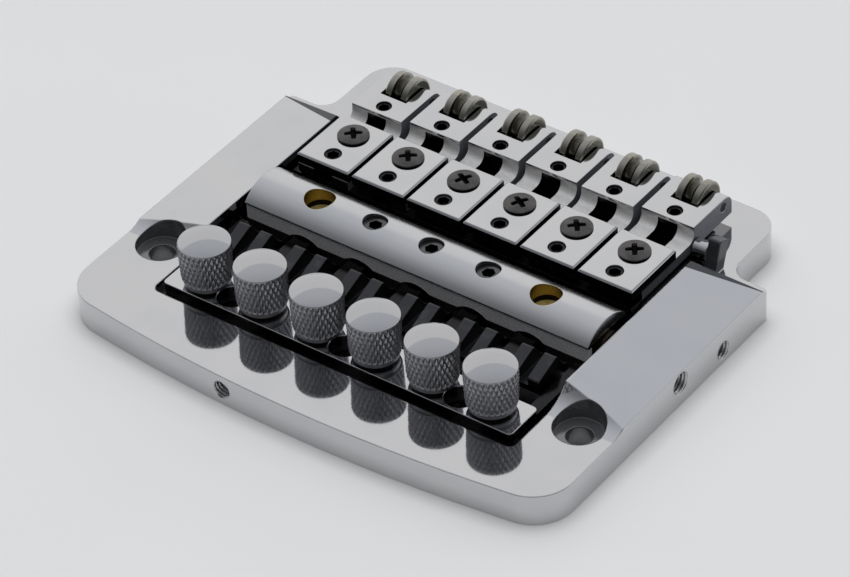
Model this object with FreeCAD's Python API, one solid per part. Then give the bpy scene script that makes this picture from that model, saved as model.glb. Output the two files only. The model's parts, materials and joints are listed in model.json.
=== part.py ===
"""Cam tremolo bridge for a six-string electric guitar, in millimetres.

Frame: the origin is the middle of the base's underside, +X runs across the
strings, +Y points to the neck and +Z points up out of the guitar's top.
"""
import math
import os

import FreeCAD
import Part

# Strings
STRING_COUNT = 6
STRING_PITCH = 10.7
INTONATION = (-2.3, -1.4, -0.5, 0.0, -0.2, 0.6)

# Fits
RUNNING_CLEARANCE = 0.05
THREAD_CLEARANCE = 0.02
SLIP_CLEARANCE = 0.15
TIP_GAP = 0.05

# Widths, from the strings outwards
CAM_OVERHANG = 0.3
CAM_END_GAP = 1.4
TONGUE_WALL = 4.6
SHOULDER_DEPTH = 7.25
CAM_WIDTH = STRING_COUNT * STRING_PITCH + 2 * CAM_OVERHANG
OPENING_WIDTH = CAM_WIDTH + 2 * CAM_END_GAP
TONGUE_WIDTH = OPENING_WIDTH + 2 * TONGUE_WALL
BASE_WIDTH = TONGUE_WIDTH + 2 * SHOULDER_DEPTH

# Cam
CAM_AXIS_Y = -1.0
CAM_AXIS_HEIGHT = 4.2
CAM_RADIUS = 6.6
SEAM_RISE = 4.2
CAM_SEAM_HEIGHT = CAM_AXIS_HEIGHT + SEAM_RISE
SEAM_GAP = 0.3
SEAM_DEPTH = 0.9
BLOCK_DROP = 1.4
BLOCK_BOTTOM = CAM_AXIS_HEIGHT - BLOCK_DROP
BLOCK_REAR_REACH = 4.8
BLOCK_REAR_Y = CAM_AXIS_Y - BLOCK_REAR_REACH
BLOCK_WALL = 2.3
BLOCK_WALL_FRONT_Y = BLOCK_REAR_Y + BLOCK_WALL
BLOCK_INSET = 0.3
BLOCK_FRONT_RADIUS = CAM_RADIUS - BLOCK_INSET
CHEEK_RADIUS = 3.9
CHEEK_WIDTH = 4.2
ARCH_RADIUS = 4.4
ARCH_CENTRE_HEIGHT = 1.8
CAM_SCREW_RADIUS = 1.25
CAM_SCREW_HEAD_RADIUS = 2.0
CAM_SCREW_HEAD_HEIGHT = 1.1
CAM_SCREW_FLOOR = 0.5
CAM_SCREW_SEAT = CAM_SEAM_HEIGHT + CAM_SCREW_FLOOR
SOCKET_WIDTH = 1.9
SOCKET_DEPTH = 0.8
POST_HOLE_RADIUS = 2.5
POST_HOLE_X = 2 * STRING_PITCH
POST_TOP = 7.4
POST_LIP = 0.3
POST_LIP_HEIGHT = 0.3
POST_FOOT = 0.15
SPRING_POCKET_TOP = 4.6
SPRING_POCKET_HALF = 2.6

# Cam bearings and pivot screws
BEARING_RADIUS = 3.0
BEARING_DEPTH = 3.0
BEARING_FLANGE_RADIUS = 3.7
BEARING_FLANGE = 0.6
PIVOT_NOSE_RADIUS = 1.5
PIVOT_SCREW_RADIUS = 1.9
PIVOT_SCREW_RECESS = 3.5

# Heights of the deck, arms and clamp blocks
DECK_BOTTOM = 4.4
DECK_THICKNESS = 2.2
DECK_TOP = DECK_BOTTOM + DECK_THICKNESS
STEP_DROP = 0.55
STEP_TOP = DECK_TOP - STEP_DROP
LIP_THICKNESS = 0.4
LIP_BOTTOM = STEP_TOP - LIP_THICKNESS
SIDE_DROP = 0.4
SIDE_TOP = DECK_TOP - SIDE_DROP
FORK_HEIGHT = 1.8
FORK_TOP = DECK_TOP + FORK_HEIGHT
CLAMP_HEIGHT = 1.9
CLAMP_TOP = FORK_TOP + CLAMP_HEIGHT
HEAD_RISE = 2.6
HEAD_TOP = FORK_TOP + HEAD_RISE
HEAD_LIFT = 0.35
HEAD_BOTTOM = DECK_TOP + HEAD_LIFT

# Clamp blocks and their screws, from the cam forwards
DECK_CAM_GAP = 1.3
DECK_REAR_Y = CAM_AXIS_Y + CAM_RADIUS + DECK_CAM_GAP
CLAMP_GAP = 0.7
CLAMP_WIDTH = STRING_PITCH - CLAMP_GAP
CLAMP_EDGE = 0.25
CLAMP_OVERHANG = 0.2
CLAMP_REAR_Y = DECK_REAR_Y - CLAMP_OVERHANG
HEEL_SCREW_RADIUS = 1.4
HEEL_SCREW_SUNK = 0.25
HEEL_WALL = 1.4
HEEL_SCREW_Y = CLAMP_REAR_Y + HEEL_WALL + HEEL_SCREW_RADIUS
LOCK_HEAD_RADIUS = 2.6
LOCK_HEAD_RISE = 0.35
LOCK_HEAD_CROWN = 0.35
LOCK_SHANK_RADIUS = 1.25
LOCK_SHANK_PLAY = 0.2
LOCK_SHANK_HOLE = LOCK_SHANK_RADIUS + LOCK_SHANK_PLAY
LOCK_SHANK_COVER = 0.3
LOCK_SHANK_END = DECK_BOTTOM + LOCK_SHANK_COVER
SCREW_SPACE = 1.4
LOCK_SCREW_Y = HEEL_SCREW_Y + HEEL_SCREW_RADIUS + SCREW_SPACE + LOCK_HEAD_RADIUS
CLAMP_FRONT_WALL = 1.3
CLAMP_FRONT_Y = LOCK_SCREW_Y + LOCK_HEAD_RADIUS + CLAMP_FRONT_WALL

# Saddle arms, rollers and axles
ARM_GAP = 1.0
ARM_WIDTH = STRING_PITCH - ARM_GAP
FORK_SLOT = 3.6
FORK_REACH = 0.5
FORK_REAR_Y = HEEL_SCREW_Y - FORK_REACH
NECK_LENGTH = 4.6
HEAD_REAR_Y = CLAMP_FRONT_Y + NECK_LENGTH
FORK_BRIDGE = 0.6
FORK_STEP_Y = HEAD_REAR_Y - FORK_BRIDGE
FORK_SLOT_REACH = 0.2
FORK_SLOT_FRONT_Y = HEAD_REAR_Y + FORK_SLOT_REACH
HEAD_LIP = 0.7
NECK_COVE = 1.5
HEIGHT_SCREW_RADIUS = 1.25
HEIGHT_SCREW_SUNK = 0.3
HEAD_REAR_WALL = 0.75
HEIGHT_SCREW_Y = HEAD_REAR_Y + HEAD_REAR_WALL + HEIGHT_SCREW_RADIUS
HEAD_MIDDLE_WALL = 1.25
ROLLER_SLOT_REAR_Y = HEIGHT_SCREW_Y + HEIGHT_SCREW_RADIUS + HEAD_MIDDLE_WALL
ROLLER_SLOT_GAP = 0.4
ROLLER_RADIUS = 3.3
ROLLER_Y = ROLLER_SLOT_REAR_Y + ROLLER_SLOT_GAP + ROLLER_RADIUS
AXLE_DROP = 1.5
ROLLER_HEIGHT = HEAD_TOP - AXLE_DROP
HEAD_REACH = 2.4
HEAD_FRONT_Y = ROLLER_Y + HEAD_REACH
HEAD_NOSE_RADIUS = 2.0
ROLLER_WIDTH = 4.5
ROLLER_SIDE_GAP = 0.25
ROLLER_SLOT_WIDTH = ROLLER_WIDTH + 2 * ROLLER_SIDE_GAP
ROLLER_FLANGE = 1.3
ROLLER_GROOVE = 1.0
ROLLER_GROOVE_RADIUS = ROLLER_RADIUS - ROLLER_GROOVE
ROLLER_FLANGE_ROUND = 0.35
AXLE_RADIUS = 0.8

# Saddle deck
DECK_SIDE_GAP = 0.8
SIDE_THICKNESS = 1.2
SIDE_OUTER_X = OPENING_WIDTH / 2 - DECK_SIDE_GAP
SIDE_GROOVE = 0.4
DECK_HALF_WIDTH = SIDE_OUTER_X - SIDE_THICKNESS - SIDE_GROOVE
DECK_REACH = 3.6
DECK_FRONT_Y = HEAD_REAR_Y + DECK_REACH
STEP_SETBACK = 2.2
STEP_Y = HEAD_REAR_Y - STEP_SETBACK
LIP_LENGTH = 3.2
LIP_FRONT_Y = DECK_FRONT_Y + LIP_LENGTH
FLANGE_BOTTOM = 1.2
LOCK_HOLE_RADIUS = 1.6
LOCK_HOLE_HEIGHT = 2.4
LOCK_HOLE_INSET = 3.7
LOCK_HOLE_Y = DECK_REAR_Y + LOCK_HOLE_INSET
LOCK_SCREW_RECESS = 3.0
FLANGE_REACH = 4.2
FLANGE_FRONT_Y = LOCK_HOLE_Y + FLANGE_REACH
DECK_PIN_RADIUS = 1.2
DECK_PIVOT_HEIGHT = 3.2
EAR_FRONT_WALL = 1.2
DECK_PIVOT_Y = DECK_FRONT_Y - EAR_FRONT_WALL - DECK_PIN_RADIUS
EAR_REAR_WALL = 1.0
EAR_REAR_Y = DECK_PIVOT_Y - DECK_PIN_RADIUS - EAR_REAR_WALL
EAR_BOTTOM = 1.4
DECK_PIN_SEAT = 2.8
DECK_PIN_END_X = OPENING_WIDTH / 2 + DECK_PIN_SEAT
BOSS_RADIUS = 1.5
BOSS_REACH = 1.3
BOSS_END_X = SIDE_OUTER_X + BOSS_REACH
BOSS_SETBACK = 0.4
BOSS_Y = DECK_PIVOT_Y - BOSS_SETBACK
BOSS_RISE = 1.1
BOSS_HEIGHT = SIDE_TOP + BOSS_RISE

# Base plate along the strings, from the deck and the hooks outwards
DECK_FRONT_GAP = 0.6
OPENING_FRONT = DECK_FRONT_Y + DECK_FRONT_GAP
SHOULDER_SETBACK = 1.4
SHOULDER_Y = DECK_PIVOT_Y - SHOULDER_SETBACK
BASE_LENGTH = 77.8
BASE_HEIGHT = 5.5
FRONT_BOW = 3.6
FRONT_CORNER = 7.0
SHOULDER_CORNER = 0.8
TONGUE_CORNER = 5.0
TONGUE_INNER_CORNER = 3.0
OPENING_CORNER = 1.2
LUG_GAP = 0.6
LUG_WIDTH = 2.1
LUG_INNER_X = BOSS_END_X + LUG_GAP
LUG_OUTER_X = LUG_INNER_X + LUG_WIDTH
LUG_SETBACK = 0.3
LUG_FOOT_Y = BOSS_Y - LUG_SETBACK
LUG_LEAN = 18.5
LUG_HEIGHT = 5.0
LUG_SUNK = 1.2
LUG_THICKNESS = 2.4
LUG_CORNER = 0.4

# Hook rod and string hooks, from the cam rearwards
ROD_RADIUS = 1.2
ROD_HEIGHT = 4.0
ROD_SETBACK = 3.8
ROD_Y = BLOCK_REAR_Y - ROD_SETBACK
HOOK_WIDTH = 6.2
HOOK_SLOT = 2.0
HOOK_SLOT_FLOOR = 5.6
HOOK_HUB_WALL = 1.2
HOOK_HUB_RADIUS = ROD_RADIUS + HOOK_HUB_WALL
PRONG_SETBACK = 0.9
PRONG_FRONT_Y = ROD_Y - PRONG_SETBACK
PRONG_FRONT_HEIGHT = 8.9
PRONG_LENGTH = 4.9
PRONG_REAR_Y = PRONG_FRONT_Y - PRONG_LENGTH
PRONG_FALL = 1.8
PRONG_REAR_HEIGHT = PRONG_FRONT_HEIGHT - PRONG_FALL
THROAT_UNDERCUT = 0.4
HOOK_THROAT_Y = PRONG_REAR_Y + THROAT_UNDERCUT
HOOK_THROAT_HEIGHT = 4.6
TAIL_BOTTOM = 1.6
TAIL_THICKNESS = 1.2
TAIL_TOP = TAIL_BOTTOM + TAIL_THICKNESS
TAIL_TURN = 1.2
TAIL_TURN_Y = PRONG_REAR_Y - TAIL_TURN
PRONG_ROUND = 0.5

# Tuner plate
PLATE_END_GAP = 1.1
PLATE_WIDTH = OPENING_WIDTH - 2 * PLATE_END_GAP
PLATE_HOOK_GAP = 4.0
PLATE_FRONT_Y = PRONG_REAR_Y - PLATE_HOOK_GAP
PLATE_DEPTH = 7.3
PLATE_REAR_Y = PLATE_FRONT_Y - PLATE_DEPTH
PLATE_BOTTOM = 3.6
PLATE_THICKNESS = 2.9
PLATE_TOP = PLATE_BOTTOM + PLATE_THICKNESS
PLATE_CORNER = 0.8
PLATE_HOLE_RADIUS = 2.5
PLATE_HOLE_INSET = 3.1
PLATE_HOLE_Y = PLATE_REAR_Y + PLATE_HOLE_INSET
WEB_GAP = 0.65
WEB_WIDTH = STRING_PITCH - HOOK_WIDTH - 2 * WEB_GAP
ROD_COVER = 0.5
WEB_TOP = ROD_HEIGHT + ROD_RADIUS + ROD_COVER
WEB_BOTTOM = 1.3
WEB_SETBACK = 2.7
WEB_FRONT_Y = CAM_AXIS_Y - WEB_SETBACK
FOOT_REACH = 2.2
FOOT_FRONT_Y = CAM_AXIS_Y + FOOT_REACH
FOOT_WALL = 0.35
FOOT_WIDTH = 2 * (CAM_SCREW_RADIUS + FOOT_WALL)
SIDE_WEB_WIDTH = 2.0
SIDE_WEB_SETBACK = 1.1
SIDE_WEB_FRONT_Y = BLOCK_REAR_Y - SIDE_WEB_SETBACK

# Tuner knobs
KNOB_INSET = 3.8
KNOB_Y = PLATE_REAR_Y + KNOB_INSET
TAIL_REACH = 1.5
TAIL_END_Y = KNOB_Y - TAIL_REACH
STUD_RADIUS = 1.6
STUD_TIP = 0.5
KNOB_GAP = 0.5
KNOB_FOOT = PLATE_TOP + KNOB_GAP
COLLAR_HEIGHT = 1.0
COLLAR_TOP = KNOB_FOOT + COLLAR_HEIGHT
BARREL_HEIGHT = 5.7
BARREL_TOP = COLLAR_TOP + BARREL_HEIGHT
STUD_COVER = 1.1
STUD_TOP = BARREL_TOP - STUD_COVER
UNDERCUT_HEIGHT = 0.25
UNDERCUT_TOP = BARREL_TOP + UNDERCUT_HEIGHT
RIM_HEIGHT = 0.65
CAP_RIM_TOP = UNDERCUT_TOP + RIM_HEIGHT
CAP_RADIUS = 4.3
BARREL_INSET = 0.1
BARREL_RADIUS = CAP_RADIUS - BARREL_INSET
BARREL_TAPER = 0.15
BARREL_FOOT_RADIUS = BARREL_RADIUS - BARREL_TAPER
UNDERCUT_DEPTH = 0.25
UNDERCUT_RADIUS = BARREL_RADIUS - UNDERCUT_DEPTH
COLLAR_INSET = 0.35
COLLAR_RADIUS = BARREL_FOOT_RADIUS - COLLAR_INSET
CAP_EDGE = 0.45
CAP_CROWN = 0.3

# Base opening, mounting holes and side rails
PLATE_REAR_GAP = 1.3
OPENING_REAR = PLATE_REAR_Y - PLATE_REAR_GAP
MOUNT_HOLE_INSET = 5.6
MOUNT_HOLE_X = OPENING_WIDTH / 2 + MOUNT_HOLE_INSET
MOUNT_HOLE_REACH = 9.4
MOUNT_HOLE_Y = OPENING_REAR + MOUNT_HOLE_REACH
MOUNT_HOLE_RADIUS = 2.1
COUNTERBORE_RADIUS = 4.1
COUNTERBORE_FLOOR = 3.7
FRONT_HOLE_X = -12.2
FRONT_HOLE_HEIGHT = 2.8
FRONT_HOLE_RADIUS = 1.6
FRONT_HOLE_DEPTH = 9.0
RAIL_INNER_HEIGHT = 8.4
RAIL_OUTER_HEIGHT = 6.3
RAMP_END_SETBACK = 1.8
RAMP_END_Y = MOUNT_HOLE_Y - RAMP_END_SETBACK
RAMP_LENGTH = 6.6
RAMP_TOP_Y = RAMP_END_Y + RAMP_LENGTH
RAMP_MID_SETBACK = 2.1
RAMP_MID_Y = RAMP_TOP_Y - RAMP_MID_SETBACK
RAMP_MID_HEIGHT = 6.5
RAIL_BEVEL_INSET = 0.8
RAIL_BEVEL_END_Y = SHOULDER_Y - RAIL_BEVEL_INSET
RAIL_BEVEL_LENGTH = 2.7
RAIL_BEVEL_TOP_Y = RAIL_BEVEL_END_Y - RAIL_BEVEL_LENGTH

# Tension springs
SPRING_WIRE_RADIUS = 0.35
SPRING_COIL_RADIUS = 1.4
SPRING_AXIS_HEIGHT = 2.3
SPRING_LOOP_RADIUS = 1.4
SPRING_TURNS = 9
SPRING_LOOP_QUARTERS = 3
ANCHOR_INSET = 1.8
ANCHOR_Y = OPENING_FRONT + ANCHOR_INSET
ANCHOR_SEAT_TOP = 5.0
ANCHOR_POCKET_TOP = 4.4
ANCHOR_POCKET_REACH = 2.4
ANCHOR_POCKET_FRONT_Y = ANCHOR_Y + ANCHOR_POCKET_REACH
ANCHOR_POCKET_HALF = 2.3
SPRING_GAP_MIN = 0.4
SPRING_GAP_POINTS = 40

OVERCUT = 1.0
UP = FreeCAD.Vector(0, 0, 1)
ACROSS = FreeCAD.Vector(1, 0, 0)
ALONG = FreeCAD.Vector(0, 1, 0)


def point(x, y, z):
    """Return a point or direction."""
    return FreeCAD.Vector(x, y, z)


def block(x_low, x_high, y_low, y_high, z_low, z_high):
    """Return a box between two corners."""
    corner = point(x_low, y_low, z_low)
    return Part.makeBox(x_high - x_low, y_high - y_low, z_high - z_low, corner)


def rod_across(radius, x_low, x_high, y, z):
    """Return a cylinder that runs along X."""
    return Part.makeCylinder(radius, x_high - x_low, point(x_low, y, z), ACROSS)


def rod_along(radius, x, y_low, y_high, z):
    """Return a cylinder that runs along Y."""
    return Part.makeCylinder(radius, y_high - y_low, point(x, y_low, z), ALONG)


def rod_up(radius, x, y, z_low, z_high):
    """Return an upright cylinder."""
    return Part.makeCylinder(radius, z_high - z_low, point(x, y, z_low), UP)


def side_profile(edges, x_low, x_high):
    """Extrude a closed profile, drawn in Y and Z at X zero, from x_low to x_high."""
    face = Part.Face(Part.Wire(edges))
    face.translate(point(x_low, 0, 0))
    return face.extrude(point(x_high - x_low, 0, 0))


def line(first, second):
    """Return a straight edge."""
    return Part.makeLine(first, second)


def arc(first, middle, last):
    """Return a circular edge through three points."""
    return Part.Arc(first, middle, last).toShape()


def polygon_edges(corners):
    """Return the closed run of straight edges through the corners."""
    following = corners[1:] + corners[:1]
    return [line(first, second) for first, second in zip(corners, following)]


def turned(profile, x, y):
    """Revolve a closed (radius, height) profile about the upright axis at x, y."""
    corners = [point(x + radius, y, height) for radius, height in profile]
    face = Part.Face(Part.makePolygon(corners + corners[:1]))
    return face.revolve(point(x, y, 0), UP, 360)


def turned_edges(edges, x, y):
    """Revolve a closed run of edges in the XZ plane at y about the upright axis."""
    face = Part.Face(Part.Wire(edges))
    return face.revolve(point(x, y, 0), UP, 360)


def crown_arc(rim, axis_x, height):
    """Return the arc of a shallow dome from its rim in to the axis, and the dome's top."""
    reach = rim.x - axis_x
    sphere = (reach ** 2 + height ** 2) / (2 * height)
    drop = sphere - math.sqrt(sphere ** 2 - (reach / 2) ** 2)
    top = point(axis_x, rim.y, rim.z + height)
    middle = point(axis_x + reach / 2, rim.y, top.z - drop)
    return arc(rim, middle, top), top


def upright_edges(shape, low_x, high_x, low_y, high_y):
    """Return the upright edges of a shape whose middles lie in a plan window."""
    chosen = []
    for edge in shape.Edges:
        box = edge.BoundBox
        upright = box.XLength < box.ZLength and box.YLength < box.ZLength
        middle = edge.CenterOfMass
        inside = low_x < middle.x < high_x and low_y < middle.y < high_y
        if upright and inside:
            chosen.append(edge)
    return chosen


def mirrored(shape):
    """Return the shape mirrored to the other side of the middle."""
    return shape.mirror(point(0, 0, 0), ACROSS)


def hex_socket(x, y, top, width, depth):
    """Return the prism that a hexagon key socket takes out."""
    reach = width / math.sqrt(3)
    corners = []
    for index in range(6):
        angle = math.radians(60 * index)
        corners.append(point(x + reach * math.cos(angle), y + reach * math.sin(angle), top - depth))
    face = Part.Face(Part.makePolygon(corners + corners[:1]))
    return face.extrude(point(0, 0, depth + OVERCUT))


def string_positions():
    """Return the X of each string, from the bass side."""
    first = -STRING_PITCH * (STRING_COUNT - 1) / 2
    return [first + STRING_PITCH * index for index in range(STRING_COUNT)]


def gap_positions():
    """Return the X halfway between neighbouring strings."""
    strings = string_positions()
    return [(left + right) / 2 for left, right in zip(strings, strings[1:])]


def cam_screw_positions():
    """Return the X of the three cam screws, the middle gaps between the strings."""
    return gap_positions()[1:-1]


def base_outline():
    """Return the base's outline as an upright prism taller than the rails."""
    half = BASE_WIDTH / 2
    tongue = TONGUE_WIDTH / 2
    rear = -BASE_LENGTH / 2
    front = BASE_LENGTH / 2
    corner_y = rear + FRONT_BOW
    edges = [
        arc(point(-half, corner_y, 0), point(0, rear, 0), point(half, corner_y, 0)),
        line(point(half, corner_y, 0), point(half, SHOULDER_Y, 0)),
        line(point(half, SHOULDER_Y, 0), point(tongue, SHOULDER_Y, 0)),
        line(point(tongue, SHOULDER_Y, 0), point(tongue, front, 0)),
        line(point(tongue, front, 0), point(-tongue, front, 0)),
        line(point(-tongue, front, 0), point(-tongue, SHOULDER_Y, 0)),
        line(point(-tongue, SHOULDER_Y, 0), point(-half, SHOULDER_Y, 0)),
        line(point(-half, SHOULDER_Y, 0), point(-half, corner_y, 0)),
    ]
    prism = Part.Face(Part.Wire(edges)).extrude(point(0, 0, RAIL_INNER_HEIGHT + OVERCUT))
    for radius, x, y in (
        (FRONT_CORNER, half, corner_y),
        (SHOULDER_CORNER, half, SHOULDER_Y),
        (TONGUE_INNER_CORNER, tongue, SHOULDER_Y),
        (TONGUE_CORNER, tongue, front),
    ):
        for side in (-x, x):
            window = upright_edges(prism, side - OVERCUT, side + OVERCUT, y - OVERCUT, y + OVERCUT)
            prism = prism.makeFillet(radius, window)
    return prism


def right_rail():
    """Return the right rail: a wedge section with a scooped rear end and a bevelled front end."""
    inner = OPENING_WIDTH / 2
    outer = BASE_WIDTH / 2
    section = [
        point(inner, RAMP_END_Y, 0),
        point(outer, RAMP_END_Y, 0),
        point(outer, RAMP_END_Y, RAIL_OUTER_HEIGHT),
        point(inner, RAMP_END_Y, RAIL_INNER_HEIGHT),
    ]
    wedge = Part.Face(Part.Wire(polygon_edges(section))).extrude(point(0, SHOULDER_Y - RAMP_END_Y, 0))
    ramp_end = point(0, RAMP_END_Y, BASE_HEIGHT)
    ramp_mid = point(0, RAMP_MID_Y, RAMP_MID_HEIGHT)
    ramp_top = point(0, RAMP_TOP_Y, RAIL_INNER_HEIGHT)
    bevel_top = point(0, RAIL_BEVEL_TOP_Y, RAIL_INNER_HEIGHT)
    bevel_end = point(0, RAIL_BEVEL_END_Y, BASE_HEIGHT)
    foot_front = point(0, RAIL_BEVEL_END_Y, 0)
    foot_rear = point(0, RAMP_END_Y, 0)
    edges = [
        arc(ramp_end, ramp_mid, ramp_top),
        line(ramp_top, bevel_top),
        line(bevel_top, bevel_end),
        line(bevel_end, foot_front),
        line(foot_front, foot_rear),
        line(foot_rear, ramp_end),
    ]
    return wedge.common(side_profile(edges, inner, outer))


def treble_lug():
    """Return the leaning lug that stands on the tongue beside the treble end of the deck."""
    lean = math.radians(LUG_LEAN)
    rise = point(0, math.sin(lean), math.cos(lean))
    back = point(0, -math.cos(lean), math.sin(lean))
    foot = point(0, LUG_FOOT_Y, BASE_HEIGHT) - rise * LUG_SUNK
    top = foot + rise * (LUG_SUNK + LUG_HEIGHT)
    corners = [foot, top, top + back * LUG_THICKNESS, foot + back * LUG_THICKNESS]
    lug = side_profile(polygon_edges(corners), LUG_INNER_X, LUG_OUTER_X)
    top_edges = []
    for edge in lug.Edges:
        box = edge.BoundBox
        across = box.YLength < box.XLength and box.ZLength < box.XLength
        if across and edge.CenterOfMass.z > BASE_HEIGHT + LUG_SUNK:
            top_edges.append(edge)
    return lug.makeFillet(LUG_CORNER, top_edges)


def base_plate():
    """Return the base with its rails, opening, lugs and holes."""
    outline = base_outline()
    half = BASE_WIDTH
    slab = outline.common(block(-half, half, -half, half, 0, BASE_HEIGHT))
    rail = right_rail().common(outline)
    body = slab.multiFuse([rail, mirrored(rail), treble_lug()]).removeSplitter()
    inner = OPENING_WIDTH / 2
    tall = RAIL_INNER_HEIGHT + OVERCUT
    opening = block(-inner, inner, OPENING_REAR, OPENING_FRONT, -OVERCUT, tall)
    opening = opening.makeFillet(OPENING_CORNER, upright_edges(opening, -half, half, -half, half))
    body = body.cut(opening)
    cutters = []
    for side in (-1, 1):
        x = side * MOUNT_HOLE_X
        cutters.append(rod_up(MOUNT_HOLE_RADIUS, x, MOUNT_HOLE_Y, -OVERCUT, tall))
        cutters.append(rod_up(COUNTERBORE_RADIUS, x, MOUNT_HOLE_Y, COUNTERBORE_FLOOR, tall))
        low, high = sorted((side * inner - side * OVERCUT, side * half))
        cutters.append(rod_across(PIVOT_SCREW_RADIUS, low, high, CAM_AXIS_Y, CAM_AXIS_HEIGHT))
        cutters.append(rod_across(LOCK_HOLE_RADIUS, low, high, LOCK_HOLE_Y, LOCK_HOLE_HEIGHT))
        pin_low, pin_high = sorted((side * inner - side * OVERCUT, side * DECK_PIN_END_X))
        cutters.append(rod_across(DECK_PIN_RADIUS, pin_low, pin_high, DECK_PIVOT_Y, DECK_PIVOT_HEIGHT))
        post_x = side * POST_HOLE_X
        cutters.append(block(post_x - ANCHOR_POCKET_HALF, post_x + ANCHOR_POCKET_HALF,
                             OPENING_FRONT - OVERCUT, ANCHOR_POCKET_FRONT_Y, -OVERCUT, ANCHOR_POCKET_TOP))
        cutters.append(rod_up(anchor_radius(), post_x, ANCHOR_Y, 0, ANCHOR_SEAT_TOP))
    rear = -BASE_LENGTH / 2
    cutters.append(rod_along(FRONT_HOLE_RADIUS, FRONT_HOLE_X, rear - OVERCUT, rear + FRONT_HOLE_DEPTH,
                             FRONT_HOLE_HEIGHT))
    return body.cut(cutters)


def anchor_radius():
    """Return the radius of the posts that the spring loops hook on."""
    return SPRING_LOOP_RADIUS - SPRING_WIRE_RADIUS - THREAD_CLEARANCE


def both_sides(shape):
    """Return a right-hand piece and its mirror image as one group of separate solids."""
    return Part.makeCompound([shape, mirrored(shape)])


def cam_pivot_screws():
    """Return the two screws in the rails whose noses carry the cam's bearings."""
    outer = BASE_WIDTH / 2 - PIVOT_SCREW_RECESS
    inner = OPENING_WIDTH / 2
    nose_end = CAM_WIDTH / 2 - BEARING_DEPTH
    radius = PIVOT_SCREW_RADIUS - THREAD_CLEARANCE
    screw = rod_across(radius, inner, outer, CAM_AXIS_Y, CAM_AXIS_HEIGHT)
    nose = rod_across(PIVOT_NOSE_RADIUS, nose_end, inner, CAM_AXIS_Y, CAM_AXIS_HEIGHT)
    return both_sides(screw.fuse(nose).removeSplitter())


def cam_bearings():
    """Return the two flanged bushes pressed into the cam's ends."""
    end = CAM_WIDTH / 2
    bush = rod_across(BEARING_RADIUS, end - BEARING_DEPTH, end, CAM_AXIS_Y, CAM_AXIS_HEIGHT)
    flange = rod_across(BEARING_FLANGE_RADIUS, end, end + BEARING_FLANGE, CAM_AXIS_Y, CAM_AXIS_HEIGHT)
    bore_radius = PIVOT_NOSE_RADIUS + RUNNING_CLEARANCE
    bore = rod_across(bore_radius, 0, BASE_WIDTH, CAM_AXIS_Y, CAM_AXIS_HEIGHT)
    return both_sides(bush.fuse(flange).cut(bore).removeSplitter())


def cam_bar():
    """Return the half-round bar on top of the cam, with its sunk holes."""
    half = CAM_WIDTH / 2
    round_bar = rod_across(CAM_RADIUS, -half, half, CAM_AXIS_Y, CAM_AXIS_HEIGHT)
    upper = block(-half, half, CAM_AXIS_Y - CAM_RADIUS, CAM_AXIS_Y + CAM_RADIUS,
                  CAM_SEAM_HEIGHT, CAM_AXIS_HEIGHT + CAM_RADIUS)
    cutters = []
    for x in cam_screw_positions():
        head_radius = CAM_SCREW_HEAD_RADIUS + THREAD_CLEARANCE
        cutters.append(rod_up(head_radius, x, CAM_AXIS_Y, CAM_SCREW_SEAT, BASE_WIDTH))
        cutters.append(rod_up(CAM_SCREW_RADIUS + SLIP_CLEARANCE, x, CAM_AXIS_Y, 0, BASE_WIDTH))
    for side in (-1, 1):
        cutters.append(rod_up(POST_HOLE_RADIUS, side * POST_HOLE_X, CAM_AXIS_Y, 0, BASE_WIDTH))
    return round_bar.common(upper).cut(cutters)


def cam_block():
    """Return the cam's body: a land for the bar, an arched rear wall and the spring pockets."""
    half = CAM_WIDTH / 2
    seam = CAM_SEAM_HEIGHT - SEAM_GAP
    rear = point(0, BLOCK_REAR_Y, BLOCK_BOTTOM)
    rear_top = point(0, BLOCK_REAR_Y, seam)
    rise = seam - CAM_AXIS_HEIGHT
    reach = math.sqrt(BLOCK_FRONT_RADIUS ** 2 - rise ** 2)
    front_top = point(0, CAM_AXIS_Y + reach, seam)
    front_mid = point(0, CAM_AXIS_Y + BLOCK_FRONT_RADIUS, CAM_AXIS_HEIGHT)
    drop = CAM_AXIS_HEIGHT - BLOCK_BOTTOM
    low_reach = math.sqrt(BLOCK_FRONT_RADIUS ** 2 - drop ** 2)
    front_low = point(0, CAM_AXIS_Y + low_reach, BLOCK_BOTTOM)
    edges = [
        line(rear, rear_top),
        line(rear_top, front_top),
        arc(front_top, front_mid, front_low),
        line(front_low, rear),
    ]
    body = side_profile(edges, -half, half)
    land = block(-half, half, BLOCK_REAR_Y + SEAM_DEPTH, CAM_AXIS_Y + reach - SEAM_DEPTH,
                 seam, CAM_SEAM_HEIGHT)
    cheeks = []
    for side in (-1, 1):
        low, high = sorted((side * (half - CHEEK_WIDTH), side * half))
        cheeks.append(rod_across(CHEEK_RADIUS, low, high, CAM_AXIS_Y, CAM_AXIS_HEIGHT))
    body = body.multiFuse([land] + cheeks)
    cutters = []
    for x in gap_positions():
        cutters.append(rod_along(ARCH_RADIUS, x, BLOCK_REAR_Y - OVERCUT, BLOCK_WALL_FRONT_Y,
                                 ARCH_CENTRE_HEIGHT))
    for x in cam_screw_positions():
        cutters.append(rod_up(CAM_SCREW_RADIUS + SLIP_CLEARANCE, x, CAM_AXIS_Y, 0, BASE_WIDTH))
    for side in (-1, 1):
        x = side * POST_HOLE_X
        cutters.append(rod_up(POST_HOLE_RADIUS, x, CAM_AXIS_Y, 0, BASE_WIDTH))
        cutters.append(block(x - SPRING_POCKET_HALF, x + SPRING_POCKET_HALF, BLOCK_WALL_FRONT_Y,
                             CAM_AXIS_Y + CAM_RADIUS, 0, SPRING_POCKET_TOP))
        low, high = sorted((side * (half - BEARING_DEPTH), side * half + side * OVERCUT))
        cutters.append(rod_across(BEARING_RADIUS, low, high, CAM_AXIS_Y, CAM_AXIS_HEIGHT))
    return body.cut(cutters).removeSplitter()


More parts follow.
